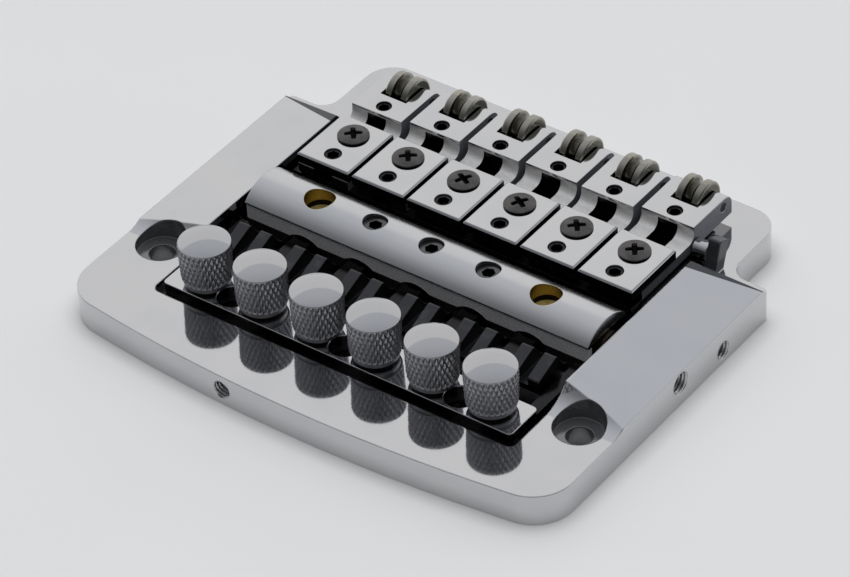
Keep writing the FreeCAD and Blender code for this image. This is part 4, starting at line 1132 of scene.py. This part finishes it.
@dataclass
class SocketScrews:
    """Set screws and socket heads with chamfered rims and sharp hexagon sockets.

    A socket is its width across the flats and its depth.
    """

    chamfer: float = 0.16
    lip: float = 0.05
    cone: float = 0.2
    columns: int = 48
    deck_clearance: float = 0.03
    heel_socket: tuple[float, float] = (1.75, 1.0)
    heel_spin: float = 23.0
    height_socket: tuple[float, float] = (1.6, 1.0)
    height_spin: float = 17.0
    cam_socket: tuple[float, float] = (1.9, 0.88)
    cam_spin: float = 11.0
    cam_shank: float = 1.25
    cam_head: float = 1.1
    cam_rim: float = 0.12
    pivot_socket: tuple[float, float] = (2.0, 1.4)
    pivot_nose: float = 1.5
    pivot_reach: float = 3.6
    plate_gap: float = 1.1
    grub_socket: tuple[float, float] = (1.5, 1.2)
    grub_spin: float = 20.0
    grub_gap: float = 0.05

    def screw(self, radius: float, low: float, top: float, socket: tuple[float, float]) -> Array:
        """Return a screw's points about an upright axis.

        The socket's radius at angle a is half its width over cos(a within its sixth of a turn).

        Args:
            radius: The screw's radius.
            low: Height of its foot.
            top: Height of its rim.
            socket: The socket's width and depth.

        Returns:
            Points by row and column.
        """
        width, depth = socket
        sixth = TURN / 6
        wall = width / 2 / np.cos(angles(self.columns)[None, :] % sixth - sixth / 2)
        cut = self.chamfer
        rows = [(0, low), (radius - cut, low), (radius, low + cut), (radius, top - cut), (radius - cut, top)]
        rows += [(wall + self.lip, top), (wall, top - self.lip)]
        rows += [(wall, top - depth), (0, top - depth - self.cone)]
        return lathe(rows, self.columns)

    def on_stem(self, screw: Array, radius: float, low: float, neck: float) -> Array:
        """Return a screw's points on a plain stem, which takes the place of its foot's middle.

        Args:
            screw: The screw's points.
            radius: The stem's radius.
            low: Height of the stem's end.
            neck: Height of the screw's foot.

        Returns:
            Points by row and column.
        """
        stem = lathe([(0, low), (radius, low), (radius, neck)], self.columns)
        return np.concatenate([stem, screw[1:]])

    def in_row(self, points: Array, across: Array, along: float, spin: float) -> list[Grid]:
        """Return upright screws side by side, each turned by one more step of spin."""
        return [Grid(carried(points, (x, along, 0), spin=spin * index)) for index, x in enumerate(across)]

    def on_sides(self, points: Array, place: Place, spin: float = 0.0) -> list[Grid]:
        """Return a screw in both rails, with its socket outwards."""
        where = (0, *place.middle[1:])
        return [Grid(carried(points, where, axis, spin)) for axis in (Axis.RIGHT, Axis.LEFT)]

    def build_heels(self) -> None:
        """Make the six heel screws in the clamp blocks."""
        place = Place.of("heel_screws")
        strings = string_places()
        points = self.screw(strings[0] - place.low[0], place.low[2], place.high[2], self.heel_socket)
        grids = self.in_row(points, strings, place.middle[1], self.heel_spin)
        seat(surface_piece("heel_set_screws", grids), "deck", Slot.BLACK_STEEL, "heel_screws")

    def build_heights(self) -> None:
        """Make the height screw of each saddle."""
        for number in STRINGS:
            node = f"height_screw_{number}"
            place = Place.of(node)
            low = place.low[2] + self.deck_clearance
            points = self.screw(place.half(), low, place.high[2], self.height_socket)
            grid = Grid(carried(points, (*place.middle[:2], 0), spin=self.height_spin * number))
            piece = surface_piece(f"height_set_screw_{number}", [grid])
            seat(piece, f"saddle_{number}", Slot.BLACK_STEEL, node)

    def build_cam(self) -> None:
        """Make the three socket heads in the cam bar."""
        place = Place.of("cam_screws")
        strings = string_places()
        gaps = (strings[1:-2] + strings[2:-1]) / 2
        top = place.high[2]
        neck = top - self.cam_head
        head = self.screw(gaps[0] - place.low[0], neck, top, self.cam_socket)
        points = self.on_stem(head, self.cam_shank, place.low[2], neck)
        piece = surface_piece("cam_socket_screws", self.in_row(points, gaps, place.middle[1], self.cam_spin))
        # Painted shade: black below the rim, where the heads sit sunk in the bar.
        finish = replace(Finishes.SOCKET_CHROME, level=top - self.cam_rim)
        seat(piece, "cam", Slot.CHROME_SCREW, "cam_screws", finish=finish)

    def build_sides(self) -> None:
        """Make the pivot screws and the grub screws in the rails."""
        pivot = Place.of("cam_pivot_screws")
        inner = Place.of("tuner_plate").high[0] + self.plate_gap
        nose_end = Place.of("cam_bearings").high[0] - self.pivot_reach
        body = self.screw(pivot.half(2), inner, pivot.high[0], self.pivot_socket)
        grids = self.on_sides(self.on_stem(body, self.pivot_nose, nose_end, inner), pivot)
        seat(surface_piece("pivot_socket_screws", grids), "base", Slot.BLACK_STEEL, "cam_pivot_screws")
        grub = Place.of("deck_lock_screws")
        inner = self.grub_gap - Place.of("saddle_deck").low[0]
        screw = self.screw(grub.half(2), inner, grub.high[0], self.grub_socket)
        grids = self.on_sides(screw, grub, self.grub_spin)
        seat(surface_piece("grub_socket_screws", grids), "base", Slot.BLACK_STEEL, "deck_lock_screws")

    def build(self) -> None:
        """Make every socket screw."""
        self.build_heels()
        self.build_heights()
        self.build_cam()
        self.build_sides()


@dataclass
class Threads:
    """Thin threaded sleeves that line the tapped holes in the base."""

    pitch: float = 0.6
    depth: float = 0.22
    wall: float = 0.01
    crest: float = 0.03
    mouth: float = 0.5
    columns: int = 40
    rows_per_turn: int = 8
    rear_radius: float = 1.6
    rear_x: float = -12.2
    rear_height: float = 2.8
    rear_length: float = 8.8
    rear_inset: float = 0.25
    pivot_radius: float = 1.9
    grub_radius: float = 1.6
    screw_gap: float = 0.02
    side_inset: float = 0.15

    def sleeve(self, radius: float, low: float, high: float) -> Array:
        """Return a sleeve: a plain outside and an inside less a triangle wave of height and angle.

        Args:
            radius: The hole's radius.
            low: Where the sleeve starts along its axis.
            high: Where it ends, at the hole's mouth.

        Returns:
            Points by row and column about an upright axis.
        """
        rows = int((high - low) / self.pitch * self.rows_per_turn)
        height = np.linspace(high, low, rows)[:, None]
        phase = height / self.pitch + angles(self.columns)[None, :] / TURN
        mouth = smooth_step(high - height, 0, self.mouth)
        inner = radius - self.crest - self.depth * triangle_wave(phase) * mouth
        outer = radius - self.wall
        return lathe([(outer, low), (outer, high), (inner, height)], self.columns)

    def build(self) -> None:
        """Line the rear hole and the four side holes."""
        base = Place.of("base_plate")
        rear = -base.low[1]
        sleeve = self.sleeve(self.rear_radius, rear - self.rear_length, rear - self.rear_inset)
        lined = [carried(sleeve, (self.rear_x, 0, self.rear_height), Axis.REAR)]
        holes = (("cam_pivot_screws", self.pivot_radius), ("deck_lock_screws", self.grub_radius))
        for node, radius in holes:
            place = Place.of(node)
            sleeve = self.sleeve(radius, place.high[0] + self.screw_gap, base.high[0] - self.side_inset)
            lined += [carried(sleeve, (0, *place.middle[1:]), axis) for axis in (Axis.RIGHT, Axis.LEFT)]
        grids = [Grid(points, wrap_rows=True) for points in lined]
        seat(surface_piece("tapped_hole_threads", grids), "base", Slot.CHROME_BASE)


@dataclass
class TensionSprings:
    """Two coil springs with an end loop round each post."""

    wire: float = 0.35
    turns: int = 9
    points_per_turn: int = 36
    ring: int = 14
    loop: float = 1.4
    loop_share: float = 0.75
    loop_points: int = 28
    settle: float = 0.05
    clearance: float = 0.15
    post_radius: float = 2.5
    skew: tuple[float, float, float] = (0.21, 0.34, 0.92)

    def path(self, rear: float, front: float, axis_height: float, coil: float) -> Array:
        """Return the wire's centre line at X zero.

        End loops are circles round their posts at the foot of the coil. The coil is
        x = -R sin a, z = h - R cos a, and its climb along Y eases in and out at both ends.

        Args:
            rear: Y of the rear post.
            front: Y of the front post.
            axis_height: Height of the coil's axis.
            coil: Radius of the coil.

        Returns:
            Points in order.
        """
        low = axis_height - coil
        around = np.linspace(0, self.loop_share * TURN, self.loop_points)
        ring = np.stack([-self.loop * np.sin(around), self.loop * np.cos(around), low + 0 * around], axis=-1)
        rear_loop = ring[:0:-1] * (-1, 1, 1) + (0, rear, 0)
        front_loop = ring[1:] * (1, -1, 1) + (0, front, 0)
        share = np.linspace(0, 1, self.turns * self.points_per_turn)
        pace = smooth_step(share, 0, self.settle) * smooth_step(1 - share, 0, self.settle)
        climb = np.concatenate([[0], np.cumsum((pace[1:] + pace[:-1]) / 2)])
        start, end = rear + self.loop, front - self.loop
        along = start + (end - start) * climb / climb[-1]
        turn = share * self.turns * TURN
        coil_points = np.stack([-coil * np.sin(turn), along, axis_height - coil * np.cos(turn)], axis=-1)
        return np.concatenate([rear_loop, coil_points, front_loop])

    def tube(self, path: Array) -> Array:
        """Carry a circle along a path.

        Each ring's frame starts from a fixed direction, and the twist between neighbouring frames,
        added up along the path, is taken out again.

        Args:
            path: The centre line.

        Returns:
            The tube's points by row and column, with its ends closed to points.
        """
        way = np.gradient(path, axis=0)
        way /= np.linalg.norm(way, axis=1, keepdims=True)
        side = np.cross(way, self.skew)
        side /= np.linalg.norm(side, axis=1, keepdims=True)
        upper = np.cross(way, side)
        twist = np.arctan2(np.sum(upper[:-1] * side[1:], axis=1), np.sum(side[:-1] * side[1:], axis=1))
        undo = -np.concatenate([[0], np.cumsum(twist)])[:, None]
        turn = angles(self.ring)[None, :] + undo
        rings = side[:, None] * np.cos(turn)[..., None] + upper[:, None] * np.sin(turn)[..., None]
        body = path[:, None] + self.wire * rings
        first, last = (np.repeat(path[index][None, None], self.ring, axis=1) for index in (0, -1))
        return np.concatenate([first, body, last])

    def build(self) -> None:
        """Make both springs as one piece, set in place at rest."""
        place = Place.of("tension_springs")
        post = Place.of("spring_posts")
        anchor = Place.of("spring_anchors")
        coil = place.half(2) - self.wire - self.clearance
        path = self.path(post.middle[1], anchor.middle[1], place.middle[2] - self.clearance, coil)
        points = self.tube(path)
        offset = post.half() - self.post_radius
        grids = [Grid(points + (side * offset, 0, 0)) for side in (-1, 1)]
        piece = surface_piece("wound_springs", grids)
        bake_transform(piece)
        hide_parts("tension_springs")
        dress(piece, Slot.SPRING_WIRE)
        LOG.info("%s bends between base and cam", piece.name)


@dataclass(frozen=True)
class EdgeRule:
    """A width for the edges whose middles, in millimetres, pass a test."""

    width: float
    test: EdgeTest


def everywhere(middles: Array) -> Array:
    """Return true for every edge."""
    return np.ones(len(middles), bool)


@dataclass
class SoftenedSolids:
    """Copies of plated and blackened solids with their sharp edges rounded.

    Weld is in metres, flat, sharp and crease are degrees, and sideways is the least part along X
    of a side face's normal.
    """

    weld: float = 1e-6
    flat: float = 0.15
    sharp: float = 24.0
    crease: float = 3.0
    segments: int = 3
    rounding: float = 0.1
    clamp_rounding: float = 0.09
    plate_rounding: float = 0.12
    rim_rounding: float = 0.2
    head_length: float = 10.6
    head_margin: float = 0.3
    head_lip: float = 0.3
    seat_gap: float = 0.02
    slot_half: float = 2.6
    slot_reach: float = 0.2
    slot_margin: float = 0.1
    sideways: float = 0.9
    hole_inset: float = 3.1
    hole_pitch: float = 21.4
    hole_reach: float = 2.6
    top_margin: float = 0.1

    def soften(self, piece: bpy.types.Object, width: float, edge_slot: int) -> None:
        """Round a piece's weighted edges and even out its shading.

        Args:
            piece: The piece, with a bevel weight per edge.
            width: Width of the rounding at full weight.
            edge_slot: Material slot of the rounded edges.
        """
        bevel = piece.modifiers.new("rounded_edges", "BEVEL")
        bevel.limit_method = "WEIGHT"
        bevel.width = width * MM
        bevel.segments = self.segments
        bevel.use_clamp_overlap = False
        bevel.face_strength_mode = "FSTR_ALL"
        bevel.material = edge_slot
        even = piece.modifiers.new("even_shading", "WEIGHTED_NORMAL")
        even.keep_sharp = True
        even.use_face_influence = True

    def copy(self, node: str, rules: Sequence[EdgeRule], edge_slot: int = 0,
             lift: float = 0.0) -> bpy.types.Object:
        """Merge a copy of a node's mesh, join its flat faces and round its sharp edges.

        Args:
            node: The node.
            rules: Widths of the rounding; a later rule wins over an earlier one.
            edge_slot: Material slot of the rounded edges.
            lift: How far the lowest face is raised off what it rests on.

        Returns:
            The copy, with a Bevel modifier that reads a weight per edge.
        """
        shape = bmesh.new()
        shape.from_mesh(frame["nodes"][node].data)
        border = shape.edges.layers.int.new("face_border")
        for edge in shape.edges:
            edge[border] = int(edge.is_boundary)
        bmesh.ops.remove_doubles(shape, verts=shape.verts, dist=self.weld)
        limit = math.radians(self.flat)
        bmesh.ops.dissolve_limit(shape, angle_limit=limit, verts=shape.verts, edges=shape.edges)
        edges = list(shape.edges)
        turns = np.array([edge.calc_face_angle(0.0) for edge in edges])
        borders = np.array([edge[border] > 0 for edge in edges])
        middles = np.array([(edge.verts[0].co + edge.verts[1].co) / 2 for edge in edges]) / MM
        width = np.zeros(len(edges))
        for rule in rules:
            width = np.where(rule.test(middles), rule.width, width)
        widest = max(rule.width for rule in rules)
        weights = np.where(turns > math.radians(self.sharp), width / widest, 0.0)
        creases = borders & (turns > math.radians(self.crease)) & (weights == 0)
        name = f"{node}_finished"
        mesh = bpy.data.meshes.new(name)
        shape.to_mesh(mesh)
        shape.free()
        points = np.empty(len(mesh.vertices) * 3, np.float32)
        mesh.vertices.foreach_get("co", points)
        heights = points[2::3]
        heights[heights < heights.min() + self.weld] += lift * MM
        mesh.vertices.foreach_set("co", points)
        mesh.shade_smooth()
        attribute = mesh.attributes.new("bevel_weight_edge", "FLOAT", "EDGE")
        attribute.data.foreach_set("value", weights.astype(np.float32))
        mesh.edges.foreach_set("use_edge_sharp", creases)
        piece = linked(name, mesh)
        self.soften(piece, widest, edge_slot)
        return piece

    def paint_faces(self, piece: bpy.types.Object, finish: Finish, test: FaceTest) -> None:
        """Give some faces a finish of their own.

        Args:
            piece: The piece.
            finish: The finish.
            test: Tells which faces get it, from their middles in millimetres and their normals.
        """
        faces = piece.data.polygons
        middles = np.empty(len(faces) * 3, np.float32)
        normals = np.empty(len(faces) * 3, np.float32)
        faces.foreach_get("center", middles)
        faces.foreach_get("normal", normals)
        chosen = test(middles.reshape(-1, 3) / MM, normals.reshape(-1, 3))
        slots = np.empty(len(faces), np.int32)
        faces.foreach_get("material_index", slots)
        slots[chosen] = len(piece.data.materials)
        piece.data.materials.append(finish.material())
        faces.foreach_set("material_index", slots)

    def arm_tests(self, arm: Place) -> tuple[EdgeTest, FaceTest, FaceTest]:
        """Return tests for the parts of a saddle arm.

        Args:
            arm: The arm's place.

        Returns:
            Tests for the edges of its neck, the walls of its slots and its outer sides.
        """
        rear = arm.high[1] - self.head_length

        def neck(middles: Array) -> Array:
            """Return which edges lie behind the head and under its top."""
            return (middles[:, 1] < rear + self.head_margin) & (middles[:, 2] < arm.high[2] - self.head_lip)

        def slots(middles: Array, normals: Array) -> Array:
            """Return which faces are walls inside the slots, which all lie within the sides.

            Args:
                middles: The faces' middles.
                normals: Their normals.

            Returns:
                True for each such face.
            """
            inside = np.abs(middles[:, 0] - arm.middle[0]) < self.slot_half
            behind = middles[:, 1] - arm.high[1] + self.head_length
            end_wall = np.abs(behind - self.slot_reach) < self.slot_margin
            return inside & ((np.abs(normals[:, 0]) > self.sideways) | end_wall)

        def sides(middles: Array, normals: Array) -> Array:
            """Return which faces look sideways and lie on the outside."""
            outside = np.abs(middles[:, 0] - arm.middle[0]) > self.slot_half
            return outside & (np.abs(normals[:, 0]) > self.sideways)

        return neck, slots, sides

    def build_arms(self) -> None:
        """Make the saddle arms: polished heads over satin necks and forks, with painted shade on the slot
        walls and outer sides.
        """
        for number in STRINGS:
            node = f"saddle_arm_{number}"
            place = Place.of(node)
            neck, slots, sides = self.arm_tests(place)
            rules = (EdgeRule(self.rounding, everywhere), EdgeRule(0.0, neck))
            piece = self.copy(node, rules, lift=self.seat_gap)
            line = place.high[1] - self.head_length + self.head_margin
            finish = replace(Finishes.SADDLE_CHROME, name=f"saddle_chrome_{number}", line=line)
            seat(piece, f"saddle_{number}", Slot.CHROME_SADDLE, node, finish=finish)
            # Painted shade: the slot walls take the black oxide finish, and the outer sides a dark grey one.
            self.paint_faces(piece, Finishes.BLACK_STEEL, slots)
            self.paint_faces(piece, Finishes.SADDLE_SHADED_SIDE, sides)

    def build_clamps(self) -> None:
        """Make the clamp blocks, bright on top, with painted shade, near black, on their sides."""
        piece = self.copy("clamp_blocks", (EdgeRule(self.clamp_rounding, everywhere),), lift=self.seat_gap)
        seat(piece, "deck", Slot.CHROME_SADDLE, "clamp_blocks", finish=Finishes.CLAMP_CHROME)

    def build_plate(self) -> None:
        """Make the tuner plate, bright on top and on its rounded edges and hole rims, with painted shade,
        near black, below its top.
        """
        place = Place.of("tuner_plate")
        holes = place.low[1] + self.hole_inset
        floor = place.high[2] - self.top_margin

        def rims(middles: Array) -> Array:
            """Return which edges are the upper rims of the three round holes."""
            nearest = (middles[:, 0] + self.hole_pitch / 2) % self.hole_pitch - self.hole_pitch / 2
            return (np.hypot(nearest, middles[:, 1] - holes) < self.hole_reach) & (middles[:, 2] > floor)

        def lower(middles: Array) -> Array:
            """Return which edges lie below the plate's top face."""
            return middles[:, 2] < floor

        edges = EdgeRule(self.plate_rounding, everywhere)
        rules = (edges, EdgeRule(0.0, lower), EdgeRule(self.rim_rounding, rims))
        piece = self.copy("tuner_plate", rules, edge_slot=1)
        seat(piece, "cam", Slot.CHROME_PLATE, "tuner_plate")
        piece.data.materials.append(Finishes.CHROME.material())

    def build(self) -> None:
        """Make and seat every softened copy."""
        rules = (EdgeRule(self.rounding, everywhere),)
        seat(self.copy("cam_block", rules), "cam", Slot.DARK_STEEL, "cam_block")
        for number in STRINGS:
            node = f"string_hook_{number}"
            seat(self.copy(node, rules), f"hook_{number}", Slot.HOOK_STEEL, node)
        self.build_arms()
        self.build_clamps()
        self.build_plate()


@dataclass
class PlainSolids:
    """Nodes whose own mesh shows, each with the finish of its slot in the record."""

    def finish_of(self, node: str) -> Finish | None:
        """Return the finish of a node that differs from its slot's.

        Args:
            node: The node.

        Returns:
            A roller's finish, set round its axis, a dark one for an axle, or none.
        """
        if node.startswith("saddle_roller"):
            place = Place.of(node)
            _, axis_y, axis_z = place.middle
            rim = place.half(2)
            return replace(Finishes.NICKEL, name=f"{node}_nickel", axis_y=axis_y, axis_z=axis_z, rim=rim)
        return Finishes.BLACK_STEEL if node.startswith("roller_axle") else None

    def build(self) -> None:
        """Dress the nodes that no piece stands for."""
        slots = {entry["node"]: Slot(entry["material_slot"]) for entry in frame["record"]["subparts"]}
        for name, node in frame["nodes"].items():
            if not node.hide_render:
                dress(node, slots[name], self.finish_of(name))
                LOG.info("%s keeps its own mesh, finish %s", name, slots[name].value)


@dataclass(frozen=True)
class Softbox:
    """A rectangular lamp that faces the object, with its sizes in metres."""

    name: str
    azimuth: float
    elevation: float
    distance: float
    width: float
    height: float
    radiance: float
    tint: Rgb = (1.0, 1.0, 1.0)
    in_metal: bool = True

    def build(self) -> None:
        """Make the lamp: power is radiance times area times pi."""
        lamp = bpy.data.lights.new(self.name, "AREA")
        lamp.shape = "RECTANGLE"
        lamp.size = self.width
        lamp.size_y = self.height
        lamp.energy = self.radiance * self.width * self.height * math.pi
        lamp.color = self.tint
        turn, rise = math.radians(self.azimuth), math.radians(self.elevation)
        way = Vector((math.sin(turn) * math.cos(rise), math.cos(turn) * math.cos(rise), math.sin(rise)))
        holder = linked(self.name, lamp)
        holder.location = way * self.distance
        holder.rotation_euler = way.to_track_quat("Z", "Y").to_euler()
        holder.visible_camera = False
        holder.visible_glossy = self.in_metal


@dataclass
class Studio:
    """Floor, lamps, world and camera.

    The floor's half side and the camera's clip distances are metres. Edge pairs are the cosines
    between which a share of the world's light rises from none to full.
    """

    floor_half: float = 4.0
    floor_drop: float = 0.02
    floor_pale: Rgb = (0.70, 0.70, 0.70)
    floor_paler: Rgb = (0.73, 0.73, 0.735)
    floor_patch: float = 40.0
    floor_gloss: float = 0.75
    bright_way: tuple[float, float, float] = (-0.556, 0.715, 0.423)
    bright_edge: tuple[float, float] = (-0.25, 0.95)
    band_way: tuple[float, float, float] = (-0.1, 0.995, 0.0)
    band_edge: tuple[float, float] = (0.1, 0.24)
    quiet_way: tuple[float, float, float] = (0.3035, -0.247, 0.92)
    quiet_edge: tuple[float, float] = (0.365, 0.41)
    dim: Rgb = (0.11, 0.113, 0.118)
    middling: Rgb = (0.67, 0.69, 0.73)
    bright: Rgb = (0.88, 0.88, 0.88)
    camera_azimuth: float = 37.953
    camera_elevation: float = 39.362
    camera_roll: float = -3.148
    camera_distance: float = 704.553
    camera_right: float = 3.196
    camera_up: float = 5.805
    camera_clip: tuple[float, float] = (0.01, 20.0)
    frame_middle: float = 8.9
    focal_pixels: float = 4590.168
    picture_width: float = 850.0
    sensor: float = 36.0
    lamps: tuple[Softbox, ...] = (
        Softbox("fill_softbox", azimuth=150, elevation=15, distance=1.0,
                width=1.6, height=0.25, radiance=0.3, tint=(0.95, 0.97, 1.0)),
        Softbox("floor_softbox", azimuth=0, elevation=90, distance=1.4,
                width=1.4, height=1.4, radiance=2.4, in_metal=False),
    )

    def floor(self) -> None:
        """Make a plain pale floor just under the base."""
        half = self.floor_half
        corners = [(-half, -half), (half, -half), (half, half), (-half, half)]
        mesh = bpy.data.meshes.new("studio_floor")
        mesh.from_pydata([(x, y, -self.floor_drop * MM) for x, y in corners], [], [(0, 1, 2, 3)])
        floor = linked("studio_floor", mesh)
        material = bpy.data.materials.new("pale_floor")
        material.use_nodes = True
        shader = Shader(material.node_tree)
        patches = shader.noise(self.floor_patch, 3)
        colour = shader.blend(patches, self.floor_pale, self.floor_paler)
        shader.surface({"Base Color": colour, "Roughness": self.floor_gloss})
        mesh.materials.append(material)

    def world(self) -> None:
        """Light the world: a broad bright side, a bright band, and a quiet zone without the band."""
        world = bpy.data.worlds.new("studio_world")
        bpy.context.scene.world = world
        world.use_nodes = True
        shader = Shader(world.node_tree)
        side = shader.toward(self.bright_way).smooth(*self.bright_edge)
        broad = shader.blend(side, self.dim, self.middling)
        loud = 1 - shader.toward(self.quiet_way).smooth(*self.quiet_edge)
        band = loud * shader.toward(self.band_way).smooth(*self.band_edge)
        full = shader.blend(band, broad, self.bright)
        back = shader.node("ShaderNodeBackground", {}, {"Color": full, "Strength": 1.0})
        shader.node("ShaderNodeOutputWorld", {}, {"Surface": back.outputs["Background"]})

    def camera(self) -> None:
        """Set the camera where the picture was taken from."""
        turn, rise = math.radians(self.camera_azimuth), math.radians(self.camera_elevation)
        roll = math.radians(self.camera_roll)
        back = Vector((math.sin(turn) * math.cos(rise), -math.cos(turn) * math.cos(rise), math.sin(rise)))
        right = Vector((math.cos(turn), math.sin(turn), 0))
        up = back.cross(right)
        across = right * math.cos(roll) + up * math.sin(roll)
        upward = up * math.cos(roll) - right * math.sin(roll)
        place = across * self.camera_right + upward * self.camera_up + back * self.camera_distance
        place -= Vector((0, self.frame_middle, 0))
        data = bpy.data.cameras.new("picture_camera")
        data.sensor_width = self.sensor
        data.lens = self.focal_pixels * self.sensor / self.picture_width
        data.clip_start, data.clip_end = self.camera_clip
        camera = linked("picture_camera", data)
        turned = Matrix((across, upward, back)).transposed().to_4x4()
        camera.matrix_world = Matrix.Translation(place * MM) @ turned
        bpy.context.scene.camera = camera

    def build(self) -> None:
        """Make the whole studio."""
        bpy.context.scene.view_settings.view_transform = "Standard"
        self.floor()
        self.world()
        for lamp in self.lamps:
            lamp.build()
        self.camera()


def main() -> None:
    """Build the studio and every sub-assembly in order."""
    logging.basicConfig(level=logging.INFO, format="%(message)s")
    assemblies = (Studio(), SoftenedSolids(), TunerKnobs(), TunerStuds(), LockScrews(), SocketScrews(),
                  Threads(), TensionSprings(), PlainSolids())
    for assembly in assemblies:
        LOG.info("building %s", type(assembly).__name__)
        assembly.build()


if __name__ == "__main__":
    main()
